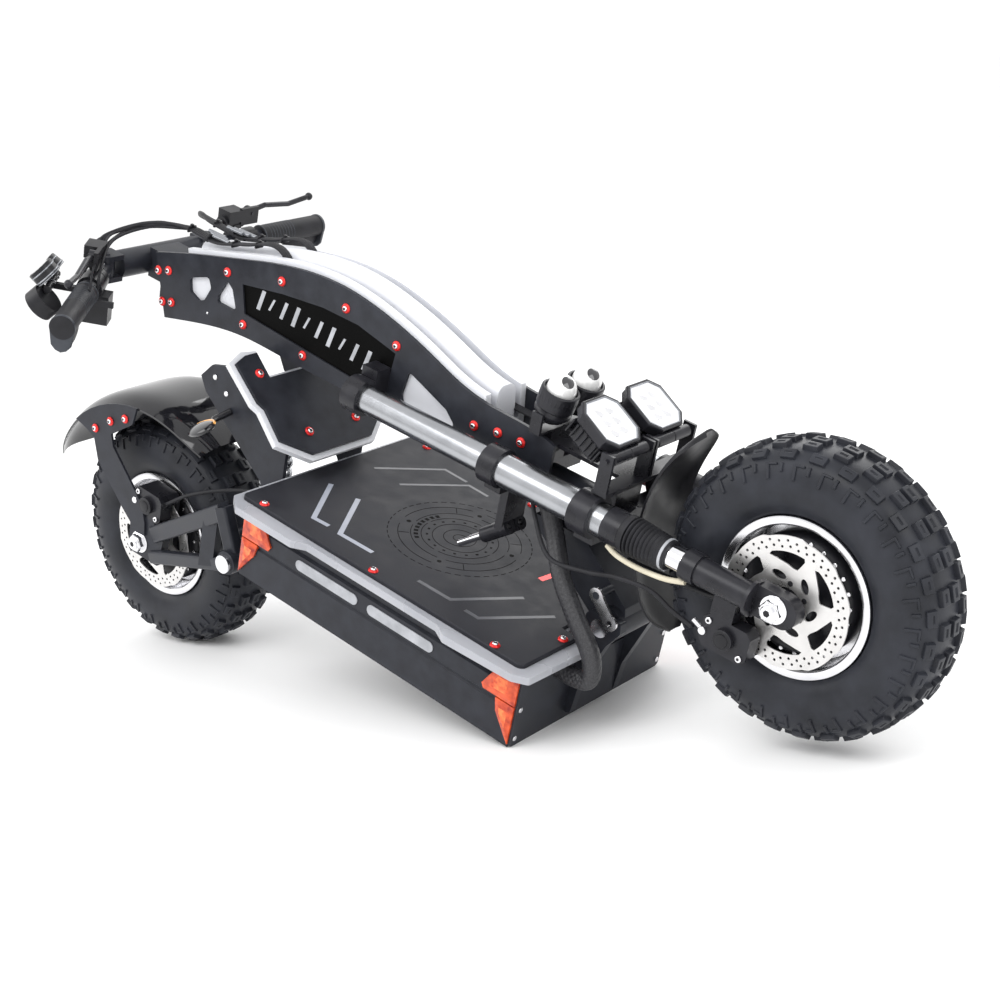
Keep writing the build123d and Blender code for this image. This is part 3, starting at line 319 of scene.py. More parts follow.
# Key, export slot, name, dark and light colour, roughness from and to, and what else differs.
FINISHES = (
    ("powder", "black_frame", "powder_coat", (0.016, 0.017, 0.022), (0.026, 0.028, 0.036),
     (0.30, 0.42), dict(grain=1500, depth=0.10, gloss=0.22)),
    ("deck", "black_frame", "deck_grain", (0.018, 0.018, 0.023), (0.028, 0.029, 0.035),
     (0.46, 0.6), dict(grain=1200, depth=0.16, gloss=0.18)),
    # Near-black: the colour of the deck dial's engraved lines, and painted shade on the floor of
    # the neck plates' recess.
    ("line", "black_frame", "dial_lines_and_recess_shade", (0.001, 0.001, 0.001), (0.003, 0.003, 0.003),
     (0.5, 0.7), dict(grain=1200, depth=0.05, gloss=0.05)),
    ("anodised", "dark_alloy", "dark_anodised", (0.012, 0.012, 0.015), (0.022, 0.022, 0.027),
     (0.24, 0.36), dict(metal=0.1, grain=1800, depth=0.03, gloss=0.3)),
    ("plastic", "black_plastic", "black_plastic", (0.009, 0.009, 0.011), (0.017, 0.017, 0.02),
     (0.3, 0.45), dict(grain=1600, depth=0.05, gloss=0.25)),
    ("gloss", "gloss_black", "gloss_black", (0.006, 0.006, 0.008), (0.012, 0.012, 0.015),
     (0.05, 0.10), dict(grain=90, depth=0.03, coat=0.3, gloss=0.4)),
    ("hub", "black_frame", "hub_black", (0.008, 0.008, 0.010), (0.016, 0.016, 0.020), (0.25, 0.4),
     dict(metal=0.1, grain=700, depth=0.05, gloss=0.25)),
    ("rubber", "rubber_black", "rubber", (0.012, 0.012, 0.014), (0.024, 0.024, 0.028), (0.45, 0.6),
     dict(grain=1300, depth=0.08, gloss=0.22)),
    ("grip", "rubber_black", "grip_rubber", (0.030, 0.034, 0.042), (0.050, 0.054, 0.064),
     (0.4, 0.55), dict(grain=1000, depth=0.12, gloss=0.3)),
    ("tyre", "tyre_rubber", "tyre_rubber", (0.012, 0.013, 0.017), (0.026, 0.028, 0.036),
     (0.34, 0.52), dict(cloud=25, grain=700, depth=0.12, gloss=0.25)),
    ("silver", "silver_alloy", "satin_silver", (0.36, 0.37, 0.39), (0.41, 0.42, 0.44),
     (0.22, 0.27), dict(metal=1.0, grain=1500, depth=0.012)),
    ("bright", "bright_steel", "bright_steel", (0.70, 0.70, 0.72), (0.80, 0.80, 0.82),
     (0.16, 0.26), dict(metal=1.0, grain=900, depth=0.02)),
    ("rotor", "bright_steel", "rotor_steel", (0.62, 0.61, 0.60), (0.74, 0.73, 0.72), (0.26, 0.36),
     dict(metal=0.9, grain=1100, depth=0.03)),
    ("chrome", "chrome_plate", "chrome", (0.80, 0.80, 0.82), (0.90, 0.90, 0.92), (0.04, 0.1),
     dict(metal=1.0, grain=300, depth=0.005)),
    ("red", "red_anodised", "red_anodised", (0.62, 0.012, 0.012), (0.85, 0.035, 0.03), (0.2, 0.3),
     dict(metal=0.35, grain=1500, depth=0.02)),
    ("frost", "frosted_acrylic", "clear_frost", (0.42, 0.43, 0.47), (0.52, 0.53, 0.57),
     (0.22, 0.34), dict(cloud=9, grain=1500, depth=0.04, extra=milky(0.2, 0.25))),
    ("acrylic", "frosted_acrylic", "frosted_acrylic", (0.70, 0.71, 0.75), (0.76, 0.77, 0.81),
     (0.25, 0.4), dict(cloud=8, grain=1600, depth=0.04, extra=milky(0.3, 0.12))),
    ("white", "frosted_acrylic", "lit_lens", (0.30, 0.31, 0.33), (0.46, 0.47, 0.50), (0.3, 0.4),
     dict(cloud=40, grain=500, depth=0.12, gloss=0.3)),
    ("orange", "orange_lens", "orange_lens", (0.30, 0.010, 0.004), (0.88, 0.12, 0.03),
     (0.08, 0.16),
     dict(cloud=75, grain=260, depth=0.5, coat=0.25, gloss=0.35,
          extra={"Transmission Weight": 0.1})),
    ("heart", "orange_lens", "lit_orange", (0.55, 0.03, 0.008), (0.98, 0.24, 0.06), (0.08, 0.16),
     dict(cloud=110, grain=260, depth=0.5, coat=0.25, gloss=0.4)),
    ("amber", "orange_lens", "amber_lens", (0.85, 0.34, 0.05), (0.95, 0.48, 0.10), (0.12, 0.2),
     dict(cloud=60, grain=300, depth=0.1, coat=0.6)),
    ("battery", "battery_wrap", "battery_wrap", (0.03, 0.08, 0.25), (0.05, 0.12, 0.35), (0.3, 0.4),
     dict()),
    ("button", "button_red", "button_red", (0.75, 0.16, 0.18), (0.88, 0.24, 0.26), (0.2, 0.3),
     dict(coat=0.3)),
    ("lens", "gloss_black", "lamp_glass", (0.62, 0.63, 0.66), (0.80, 0.81, 0.84), (0.05, 0.12),
     dict(cloud=55, grain=120, depth=0.15, coat=1.0)),
    ("glass", "chrome_plate", "lamp_reflector", (0.55, 0.56, 0.60), (0.80, 0.81, 0.84),
     (0.06, 0.14), dict(metal=0.4, cloud=70, grain=200, depth=0.1, coat=1.0)),
    # Lamp ball: a near-white base colour that is a painted reflection of the white surroundings on
    # a chrome ball.
    ("painted_reflection", "chrome_plate", "lamp_ball", (0.80, 0.80, 0.80), (0.90, 0.90, 0.89), (0.05, 0.12),
     dict(metal=0.1, cloud=30, grain=300, depth=0.01, coat=0.8)),
    ("inlay", "frosted_acrylic", "pale_inlay", (0.28, 0.30, 0.36), (0.36, 0.38, 0.44), (0.3, 0.42),
     dict(grain=1200, depth=0.05)),
    ("groove", "dark_alloy", "worn_groove", (0.035, 0.036, 0.043), (0.075, 0.077, 0.09),
     (0.3, 0.42), dict(grain=1200, depth=0.05)),
    ("cream", "rubber_black", "cream_sleeve", (0.55, 0.50, 0.38), (0.66, 0.61, 0.48), (0.4, 0.5),
     dict(grain=900, depth=0.05)),
    ("pupil", "gloss_black", "lamp_pupil", (0.004, 0.004, 0.005), (0.02, 0.02, 0.025),
     (0.03, 0.07), dict(cloud=60, grain=300, depth=0.02, coat=1.0)),
    ("gauge", "gloss_black", "gauge_case", (0.20, 0.21, 0.23), (0.30, 0.31, 0.33), (0.2, 0.3),
     dict(metal=0.6, grain=900, depth=0.03)),
    ("braid", "braided_cable", "braided_sleeve", (0.010, 0.010, 0.012), (0.045, 0.045, 0.05),
     (0.35, 0.5), dict(cloud=700, grain=1100, depth=0.3)),
)
MAT = {key: surface(name, dark, light, rough, **more)
       for key, _, name, dark, light, rough, more in FINISHES}


def paint(name, key):
    node = nodes[name]
    for slot in node.material_slots:
        slot.material = MAT[key]
    if not node.material_slots:
        node.data.materials.append(MAT[key])


# Finishes of the CAD nodes that stay in view.
PAINTS = {
    "powder": ("deck_shell", "rear_brackets", "swingarm", "kickstand", "steering_head",
               "neck_plates", "hinge_bracket", "foot_plate", "deck_end_plates", "handlebar_right",
               "handlebar_left", "bar_clamp"),
    "deck": ("deck_top_plate",),
    "acrylic": ("light_panels", "neck_core"),
    "orange": ("deck_lamps",),
    "anodised": ("fork_clamps", "lamp_brackets", "brake_lever_right", "brake_lever_left",
                 "fork_legs", "front_caliper", "rear_caliper"),
    "plastic": ("controls_right", "controls_left", "throttle"),
    "rubber": ("grip_right", "grip_left"),
    "silver": ("fork_tubes", "shock_body", "motor_controllers"),
    "bright": ("latch_link", "steering_stem", "pivot_pins"),
    "chrome": ("fork_stanchions", "lock_pins", "shock_rod"),
    "battery": ("battery_pack",),
    "button": ("red_button",),
}
for key, names in PAINTS.items():
    for name in names:
        paint(name, key)

# ---- wheels: drawn about the axle, local Z across towards the left

def wheel_place(axle):
    return place(axle, (0, 1, 0))


# Carcass of the tyre from the crown's middle outwards: radius and half width.
CARCASS = ((171, 0), (170.6, 16), (168, 30), (162.5, 40), (153.5, 46.5), (141, 50.3), (128, 51.2),
           (114, 49.6), (103, 45.5), (97, 40))
KNOB_TOTAL = 28
# Rows of knobs: first and last distance from the crown, length, offset in pitches, height.
KNOB_ROWS = ((-8, 8, 21, 0.0, 5.8), (13, 27, 20, 0.5, 5.8), (31.5, 44.5, 20, 0.0, 5.0))
# Side lugs: first and last distance from the crown, width, offset in pitches.
LUG_ROWS = ((48.5, 68, 5.5, 0.36), (48.5, 60, 5.5, 0.86), (48.5, 53, 15, 0.5))
LUG_HEIGHT = 2.6
BLOCK_ROOT = 1.5
ROTOR_STEPS = 240
ROTOR_RADIUS = 79.8
ROTOR_ARMS = 6
ROTOR_OFFSET = 58
SCALLOP = 2.4


# Radius, half width and outward direction at a distance along the carcass.
def carcass_at(u):
    side = -1 if u < 0 else 1
    left = abs(u)
    for (r0, y0), (r1, y1) in zip(CARCASS, CARCASS[1:]):
        run = hypot(r1 - r0, y1 - y0)
        if left <= run:
            break
        left -= run
    t = left / run
    out = Vector((y1 - y0, r0 - r1)) / run
    return Vector((r0 + (r1 - r0) * t, side * (y0 + (y1 - y0) * t))), Vector((out.x, side * out.y))


def tyre_point(where, u, angle, height):
    base, out = carcass_at(u)
    spot = base + out * height
    return where @ Vector((spot.x * cos(angle), spot.x * sin(angle), spot.y))


# One tread block with sloping sides and, if dimpled, a pit in its top.
def tread_block(bm, where, u0, u1, angle, length, height, dimpled):
    levels = [(-BLOCK_ROOT, 0.0), (height, 1.3)]
    if dimpled:
        levels += [(height, 5.2), (height - 1.6, 5.8)]
    middle = carcass_at((u0 + u1) / 2)[0].x
    rings = []
    for lift, inset in levels:
        half = (length / 2 - inset) / middle
        corners = ((u0 + inset, -half), (u1 - inset, -half), (u1 - inset, half), (u0 + inset, half))
        rings.append([bm.verts.new(tyre_point(where, u, angle + a, lift)) for u, a in corners])
    skin(bm, rings)
    bm.faces.new(rings[-1])


def tyre(name, axle, body):
    bm = bmesh.new()
    where = wheel_place(axle)
    left = list(CARCASS) + [(97, 34), (110, 32)]
    revolve(bm, [(r, -y) for r, y in left[:0:-1]] + left, where, 112)
    pitch = 2 * pi / KNOB_TOTAL
    for k in range(KNOB_TOTAL):
        for u0, u1, length, offset, height in KNOB_ROWS:
            angle = (k + offset) * pitch
            tread_block(bm, where, u0, u1, angle, length, height, True)
            if u0 > 0:
                tread_block(bm, where, -u1, -u0, angle + pitch / 2, length, height, True)
        for u0, u1, width, offset in LUG_ROWS:
            angle = (k + offset) * pitch
            tread_block(bm, where, u0, u1, angle, width, LUG_HEIGHT, False)
            tread_block(bm, where, -u1, -u0, angle + pitch / 2, width, LUG_HEIGHT, False)
    add_piece(name, bm, body, ("tyre",), (name,), 28, 0.6)


# Disc outline with ten scallops, and its holes: bore, windows, leaves and two rows of drillings.
def rotor_outlines():
    outer = []
    for k in range(ROTOR_STEPS):
        turn = k / ROTOR_STEPS * 10 % 1
        dip = SCALLOP * turn if turn < 0.8 else SCALLOP * (1 - turn) / 0.2
        a = 2 * pi * k / ROTOR_STEPS
        outer.append(((ROTOR_RADIUS - dip) * cos(a), (ROTOR_RADIUS - dip) * sin(a)))
    outlines = [outer, ring_points(0, 0, 18.5, 40)]
    for k in range(ROTOR_ARMS):
        a = k * 60
        window = [polar(60.5, a + 3 + t * 5) for t in range(9)]
        window += [polar(58, a + 47), polar(52, a + 38), polar(46.5, a + 24), polar(43, a + 12),
                   polar(43.5, a + 6), polar(50, a + 3), polar(57, a + 1)]
        outlines.append(window)
        cx, cy = polar(33.5, a + 40)
        lean = radians(a + 40 + 58)
        leaf = []
        for j in range(18):
            t = 2 * pi * j / 18
            x = 9.2 * cos(t)
            y = 4.6 * sin(t)
            leaf.append((cx + x * cos(lean) - y * sin(lean), cy + x * sin(lean) + y * cos(lean)))
        outlines.append(leaf)
    for k in range(40):
        a = k * 9
        outlines.append(ring_points(*polar(65.5 + 1.5 * (k % 2), a), 1.7, 10))
        outlines.append(ring_points(*polar(72.0 + 1.5 * (k % 2), a + 3), 1.7, 10))
    return outlines


def polar(radius, angle):
    return (radius * cos(radians(angle)), radius * sin(radians(angle)))


def ring_points(x, y, radius, count):
    steps = [2 * pi * k / count for k in range(count)]
    return [(x + radius * cos(a), y + radius * sin(a)) for a in steps]


def rotor(name, axle, body, turn):
    where = place(axle - SIDE * ROTOR_OFFSET, -SIDE) @ Matrix.Rotation(turn, 4, "Z")
    mesh = plate_from_curves(name, rotor_outlines(), 0.9, where)
    add_piece(name, mesh, body, ("rotor",), (name,), 30)
    bm = bmesh.new()
    for k in range(ROTOR_ARMS):
        x, y = polar(24.5, k * 60 + 12)
        drum(bm, where @ Vector((x, y, 0.5)), where @ Vector((x, y, 1.5)), 3.4, 0, 16, 0.4)
    add_piece(name + "_bolts", bm, body, ("plastic",))


# Black hub between silver rim flanges, with a ring of cover bolts.
def hub(name, axle, body):
    bm = bmesh.new()
    where = wheel_place(axle)
    half = [(9.1, 57), (20, 57), (24, 56.4), (25, 55.5), (31.5, 54), (33.5, 48), (34, 40.2),
            (38, 39.6), (60, 38.6), (66, 36.5), (71, 32), (73.6, 27), (74, 9)]
    rim = [(74, 9), (82, 9), (83.6, 14), (84, 36), (85.2, 41.5), (87, 43.4), (93.5, 44),
           (95.6, 43.4), (96, 41.8), (96, 0)]
    for side in SIDES:
        revolve(bm, [(r, side * y) for r, y in half], where, 72, 0)
        revolve(bm, [(r, side * y) for r, y in rim], where, 96, 1)
        for k in range(24):
            x, y = polar(67.5, k * 15)
            start = where @ Vector((x, y, side * 33))
            end = where @ Vector((x, y, side * 37.6))
            drum(bm, start, end, 2.6, 3 if k == 9 else 2, 10)
    add_piece(name, bm, body, ("hub", "bright", "bright", "red"), (name,), 30)


def axle_piece(name, axle, body, spacer_end, outer_face):
    bm = bmesh.new()
    x, _, z = axle
    for side in SIDES:
        tip = outer_face + 15.5
        drum(bm, (x, 0, z), (x, side * tip, z), 9, 0, 32, 1.2)
        drum(bm, (x, side * 57.3, z), (x, side * spacer_end, z), 14, 0)
        drum(bm, (x, side * outer_face, z), (x, side * (outer_face + 2), z), 17, 0, 40)
        where = place((x, side * (outer_face + 2), z), (0, side, 0))
        prism(bm, hexagon(13.8), 9.4, where, 0, 1.3)
        collar = [(x, side * (outer_face + reach), z) for reach in (10, 12.4)]
        drum(bm, *collar, 11.6, 0, 32, 1)
        socket = place((x, side * (tip - 1), z), (0, side, 0))
        prism(bm, hexagon(4.4), 1.15, socket, 1, 0.1)
    add_piece(name, bm, body, ("chrome", "plastic"), (name,), 30)


tyre("front_tyre", FRONT_AXLE, "front_wheel")
tyre("rear_tyre", REAR_AXLE, "rear_wheel")
hub("front_hub_rim", FRONT_AXLE, "front_wheel")
hub("rear_hub_rim", REAR_AXLE, "rear_wheel")
rotor("front_rotor", FRONT_AXLE, "front_wheel", 0.35)
rotor("rear_rotor", REAR_AXLE, "rear_wheel", 1.1)
axle_piece("front_axle", FRONT_AXLE, "fork_lower", 66, 84)
axle_piece("rear_axle", REAR_AXLE, "swingarm", 70, 84)


# ---- dressed screws: a red anodised cup washer under a silver socket head

def dressed_screw(bm, spot, normal):
    where = place(spot, normal)
    cup = [(0, 0), (6.7, 0), (6.8, 0.7), (6.2, 1.9), (5.2, 2.7), (4.6, 2.9), (4.1, 2.3), (0, 2.2)]
    revolve(bm, cup, where, 28, 0)
    head = [(3.9, 2.2), (3.8, 3.2), (3.2, 4.1), (2.4, 4.5), (2.1, 4.5), (1.9, 3.4), (0, 3.4)]
    revolve(bm, head, where, 20, 1)
    prism(bm, hexagon(1.75), 0.25, where @ Matrix.Translation((0, 0, 3.45)), 2, 0.05)


PLATE_TOP = 124
INLAY = 0.06
SCREW_SEAT = PLATE_TOP - 0.4
DECK_SCREWS = [(x, side * 160) for x in (-704, -504, -300) for side in SIDES]
DECK_SCREWS += [(-259, side * 78) for side in SIDES]
FOOT_ORIGIN = Vector((-717, 0, 157))
FOOT_SLOPE = radians(39)
FOOT_UP = Vector((sin(FOOT_SLOPE), 0, cos(FOOT_SLOPE)))
FOOT_ALONG = Vector((-cos(FOOT_SLOPE), 0, sin(FOOT_SLOPE)))
NECK_OUT = 45
NECK_RECESS = 42.5
NECK_SCREWS = ((-1077, 294), (-1056, 301), (-1063, 251), (-1044, 257), (-938, 343), (-834, 369),
               (-714, 377), (-620, 362), (-897, 281), (-779, 283), (-476, 312), (-438, 319),
               (-401, 322))


def foot_point(u, v, lift=0.0):
    return FOOT_ORIGIN + FOOT_ALONG * u + Vector((0, v, 0)) + FOOT_UP * lift


def all_screws():
    bm = bmesh.new()
    for x, y in DECK_SCREWS:
        dressed_screw(bm, (x, y, SCREW_SEAT), (0, 0, 1))
    for u, v in ((40, 45), (138, 76)):
        for side in SIDES:
            dressed_screw(bm, foot_point(u, side * v), FOOT_UP)
    add_piece("deck_screws", bm, "deck", ("red", "bright", "plastic"), ("deck_screws",))
    bm = bmesh.new()
    for x, z in NECK_SCREWS:
        for side in SIDES:
            dressed_screw(bm, (x, side * NECK_OUT, z), (0, side, 0))
    for x, z in NECK_SCREWS[4:11]:
        drum(bm, (x, -40, z), (x, 40, z), 4.5, 1, 16)
    add_piece("neck_screws", bm, "front_frame", ("red", "bright", "plastic"), ("neck_screws",))


all_screws()


# ---- second finishes on faces of CAD nodes, picked by where they are in the chassis frame

def paint_faces(name, key, wanted):
    mesh = nodes[name].data
    mesh.materials.append(MAT[key])
    index = len(mesh.materials) - 1
    back = CHASSIS.inverted()
    turn = AXES.to_3x3().transposed()
    for face in mesh.polygons:
        if wanted(back @ face.center, turn @ face.normal):
            face.material_index = index


paint_faces("light_panels", "frost", lambda p, n: 107 < p.z < 119 and p.x > -760)
paint_faces("deck_lamps", "white", lambda p, n: -640 < p.x < -388)
# Painted shade: the floor of the recess on each neck plate gets the near-black line finish.
paint_faces("neck_plates", "line",
            lambda p, n: abs(abs(p.y) - NECK_RECESS) < 0.4 and abs(n.y) > 0.9)


# ---- deck pattern: flat inlays and grooves let into the deck plate

def flat_piece(name, outlines, key, body="deck", where=None):
    level = where or Matrix.Translation((0, 0, PLATE_TOP + INLAY))
    add_piece(name, plate_from_curves(name, outlines, INLAY, level), body, (key,))


# Outline of a bent strip of the given width along a line of points.
def strip(points, width):
    pts = [Vector(p) for p in points]
    left = []
    right = []
    for k, p in enumerate(pts):
        ahead = (pts[min(k + 1, len(pts) - 1)] - p).normalized()
        behind = (p - pts[max(k - 1, 0)]).normalized()
        lean = (ahead + behind).normalized()
        normal = Vector((-lean.y, lean.x))
        edge = ahead if ahead.length else behind
        reach = width / 2 / max(0.4, abs(lean.dot(edge)))
        left.append(tuple(p + normal * reach))
        right.append(tuple(p - normal * reach))
    return left + right[::-1]


def arc_strip(centre, radius, start, end, width):
    count = max(3, int(abs(end - start) / 5))
    angles = [start + (end - start) * k / count for k in range(count + 1)]
    outer = [polar(radius + width / 2, a) for a in angles]
    inner = [polar(radius - width / 2, a) for a in reversed(angles)]
    return [(centre[0] + x, centre[1] + y) for x, y in outer + inner]


def deck_pattern():
    dial = (-498, 0)
    lines = [arc_strip(dial, 97, k * 7.5, k * 7.5 + 4.5, 1.2) for k in range(48)]
    for radius, gap in ((83, 14), (66, 10), (52, 7), (37, 0), (22, 0), (9, 0)):
        for k in range(4):
            start = k * 90 + gap + radius % 17
            lines.append(arc_strip(dial, radius, start, start + 89.5 - gap, 1.0))
    lines += [arc_strip(dial, 59, k * 9 + 160, k * 9 + 165, 6) for k in range(9)]
    lines += [arc_strip(dial, 44, k * 20, k * 20 + 5, 3) for k in range(18)]
    for k in range(4):
        spoke = [polar(r, k * 90 + 45) for r in (68, 82)]
        lines.append(strip([(dial[0] + x, dial[1] + y) for x, y in spoke], 1.0))
        x, y = polar(74, k * 90 + 20)
        lines.append(ring_points(dial[0] + x, dial[1] + y, 3.2, 16))
    flat_piece("deck_dial", lines, "line")
    inlays = [strip(((-697, -43), (-642, -130), (-616, -128)), 7),
              strip(((-647, -41), (-593, -130), (-536, -128)), 7)]
    flat_piece("deck_inlays", inlays, "inlay")
    front = (((-455, 129), (-401, 128), (-350, 44)), ((-374, 131), (-352, 131), (-298, 45)))
    rear = (((-699, 44), (-642, 131), (-600, 130)), ((-646, 40), (-591, 125), (-555, 124)))
    grooves = [strip([(x, -y) for x, y in line], 6) for line in front]
    grooves += [strip(line, 5) for line in rear + front]
    flat_piece("deck_grooves", grooves, "groove")
    flat_piece("deck_chevron", [strip(((-367, 10), (-362, 63), (-342, 50)), 9)], "red")


# A generic row of slanted bars in the recess on each neck plate.
def neck_motif():
    lean = 4
    for side, name in SIDE_NAMES:
        bars = []
        for k in range(11):
            x = -874 + 22.5 * k
            middle = 325 + 7.5 * sin((k + 1) / 12 * pi) - 0.9 * k
            half, width = ((15, 7), (9, 4), (13, 6))[k % 3]
            bars.append([(x - lean, middle - half), (x - lean + width, middle - half),
                         (x + lean + width, middle + half), (x + lean, middle + half)])
        where = place((0, side * (NECK_RECESS + 0.12), 0), (0, -1, 0))
        flat_piece("neck_motif_" + name, bars, "white", "front_frame", where)


def small_bolts():
    bm = bmesh.new()
    for side in SIDES:
        for z in (12, 54, 97):
            drum(bm, (-251, side * 151, z), (-249.2, side * 151, z), 3.6, 0, 16)
        for u, z in ((-880, 190), (-905, 205), (-770, 78)):
            drum(bm, (u, side * 78, z), (u, side * 79.8, z), 4, 0, 16)
    add_piece("deck_bolts", bm, "deck", ("bright",))
    bm = bmesh.new()
    for side in SIDES:
        for radius, angle in ((191, 105.7), (186, 116.6), (182, 129.3)):
            x, z = polar(radius, angle)
            spot = (REAR_AXLE.x + x, side * 88, REAR_AXLE.z + z)
            dressed_screw(bm, spot, (0, side, 0))
    add_piece("fender_screws", bm, "swingarm", ("red", "bright", "plastic"))
    bm = bmesh.new()
    for side in SIDES:
        drum(bm, (-969, side * 45, 270), (-969, side * 46.2, 270), 1.8, 0, 12)
    add_piece("neck_stud", bm, "front_frame", ("bright",))


LAMP_FACE = 160.6


# Cut-glass faces over each corner lamp.
def lamp_facets():
    bm = bmesh.new()
    lobe = [(0, 60), (0, 104), (34, 100), (54, 66), (50, 60)]
    tail = [(0, 5), (0, 58), (30, 58), (26, 40)]
    for side in SIDES:
        for end, inward in ((-737, 1), (-254, -1)):
            for outline in (lobe, tail):
                ring = [Vector((end + inward * x, side * LAMP_FACE, z)) for x, z in outline]
                middle = sum(ring, Vector()) / len(ring)
                inner = [middle + (p - middle) * 0.45 + Vector((0, side * 1.7, 0)) for p in ring]
                for k in range(len(ring)):
                    n = (k + 1) % len(ring)
                    corners = [bm.verts.new(p) for p in (ring[k], ring[n], inner[n], inner[k])]
                    bm.faces.new(corners)
                bm.faces.new([bm.verts.new(p) for p in inner]).material_index = 1
                bm.faces.new([bm.verts.new(p) for p in reversed(ring)])
    bmesh.ops.remove_doubles(bm, verts=bm.verts, dist=0.01)
    add_piece("lamp_facets", bm, "deck", ("orange", "heart"), (), 5)


deck_pattern()
neck_motif()
small_bolts()
lamp_facets()


# ---- mudguards: crowned shells with rolled edges, the rear one on two cranked side struts

GUARD_LONG = 35
GUARD_WIDE = 20
GUARD_WALL = 3


def guard_shell(bm, axle, radius, half, start, end, roll, taper):
    walls = []
    for inset in (0, GUARD_WALL):
        wall = []
        for k in range(GUARD_LONG + 1):
            angle = start + (end - start) * k / GUARD_LONG
            width = half * (1 - taper * abs(2 * k / GUARD_LONG - 1) ** 7)
            row = []
            for j in range(GUARD_WIDE + 1):
                t = 2 * j / GUARD_WIDE - 1
                x, z = polar(radius - inset - roll * abs(t) ** 5, angle)
                row.append(bm.verts.new(axle + Vector((x, width * t, z))))
            wall.append(row)
        walls.append(wall)
        for low, high in zip(wall, wall[1:]):
            for j in range(GUARD_WIDE):
                bm.faces.new((low[j], low[j + 1], high[j + 1], high[j]))
    outer, inner = walls
    for k in range(GUARD_LONG):
        for j in (0, GUARD_WIDE):
            bm.faces.new((outer[k][j], outer[k + 1][j], inner[k + 1][j], inner[k][j]))
    for k in (0, GUARD_LONG):
        for j in range(GUARD_WIDE):
            bm.faces.new((outer[k][j], outer[k][j + 1], inner[k][j + 1], inner[k][j]))


def front_guard():
    bm = bmesh.new()
    guard_shell(bm, FRONT_AXLE, 216, 50, 146, 222, 5, 0.8)
    for side in SIDES:
        stay = [(-204, side * 45, 257), (-194, side * 66, 262), (-84, side * 68, 275),
                (-74, side * 76, 284)]
        sweep(bm, smooth(stay, 6), 3.5, 12)
    add_piece("front_guard", bm, "fork_lower", ("plastic",), ("front_mudguard",), 32)


def rear_fender():
    bm = bmesh.new()
    guard_shell(bm, REAR_AXLE, 226, 84, 62, 165, 15, 0.12)
    edge = [polar(212, a) for a in range(98, 141, 6)]
    strut = [(-137, 131), (-118, 124), (-105, 91), (-40, 38), (-6, 14), (12, 16), (10, 36), (0, 64),
             (-74, 128), (-80, 146), (-36, 181)]
    for side in SIDES:
        where = place(REAR_AXLE + SIDE * side * 84, (0, side, 0))
        flip = [(x, -side * z) for x, z in edge + strut]
        prism(bm, flip, 3.6, where, 1, 0.5)
    add_piece("rear_guard", bm, "swingarm", ("gloss", "powder"), ("rear_fender",), 32)


# A leaf of three half sizes on a stalk, with a lit strip over its upper edge.
def turn_signals():
    bm = bmesh.new()
    length, width, depth = 34, 17, 7
    tilt = Matrix.Rotation(radians(28), 4, "X") @ Matrix.Rotation(radians(-33), 4, "Y")
    seat = Matrix.Translation((-876, -122, 148)) @ tilt
    leaf = [polar(1, a) for a in range(-90, 91, 10)]
    arc = [polar(1, a) for a in range(35, 150, 5)]
    for side in SIDES:
        where = Matrix.Diagonal((1, -side, 1, 1)) @ seat
        shape = where @ Matrix.Diagonal((length, width, depth, 1))
        revolve(bm, [(abs(r), z) for r, z in leaf], shape, 40, 0)
        glow = [where @ Vector((length * x, (width + 0.4) * y, 1.5)) for x, y in arc]
        sweep(bm, glow, 2.0, 10, 1)
        drum(bm, (-868, side * 78, 168), (-874, side * 104, 158), 5, 0, 20)
    add_piece("turn_lamps", bm, "deck", ("gloss", "amber"), ("turn_signals",), 40)


front_guard()
rear_fender()
turn_signals()


# ---- lamps

def octagon(width, height, corner):
    w = width / 2
    h = height / 2
    c = corner
    return [(w, c - h), (w, h - c), (w - c, h), (c - w, h), (-w, h - c), (-w, c - h), (c - w, -h),
            (w - c, -h)]


# Skin through octagons, given by width, height, corner and level; the last one is filled.
def loft(bm, levels, where, mat=0, fill=None):
    rings = [[bm.verts.new(where @ Vector((x, y, z))) for x, y in octagon(*size)]
             for *size, z in levels]
    skin(bm, rings, mat)
    bm.faces.new(rings[-1]).material_index = mat if fill is None else fill
    bm.faces.new(list(reversed(rings[0]))).material_index = mat


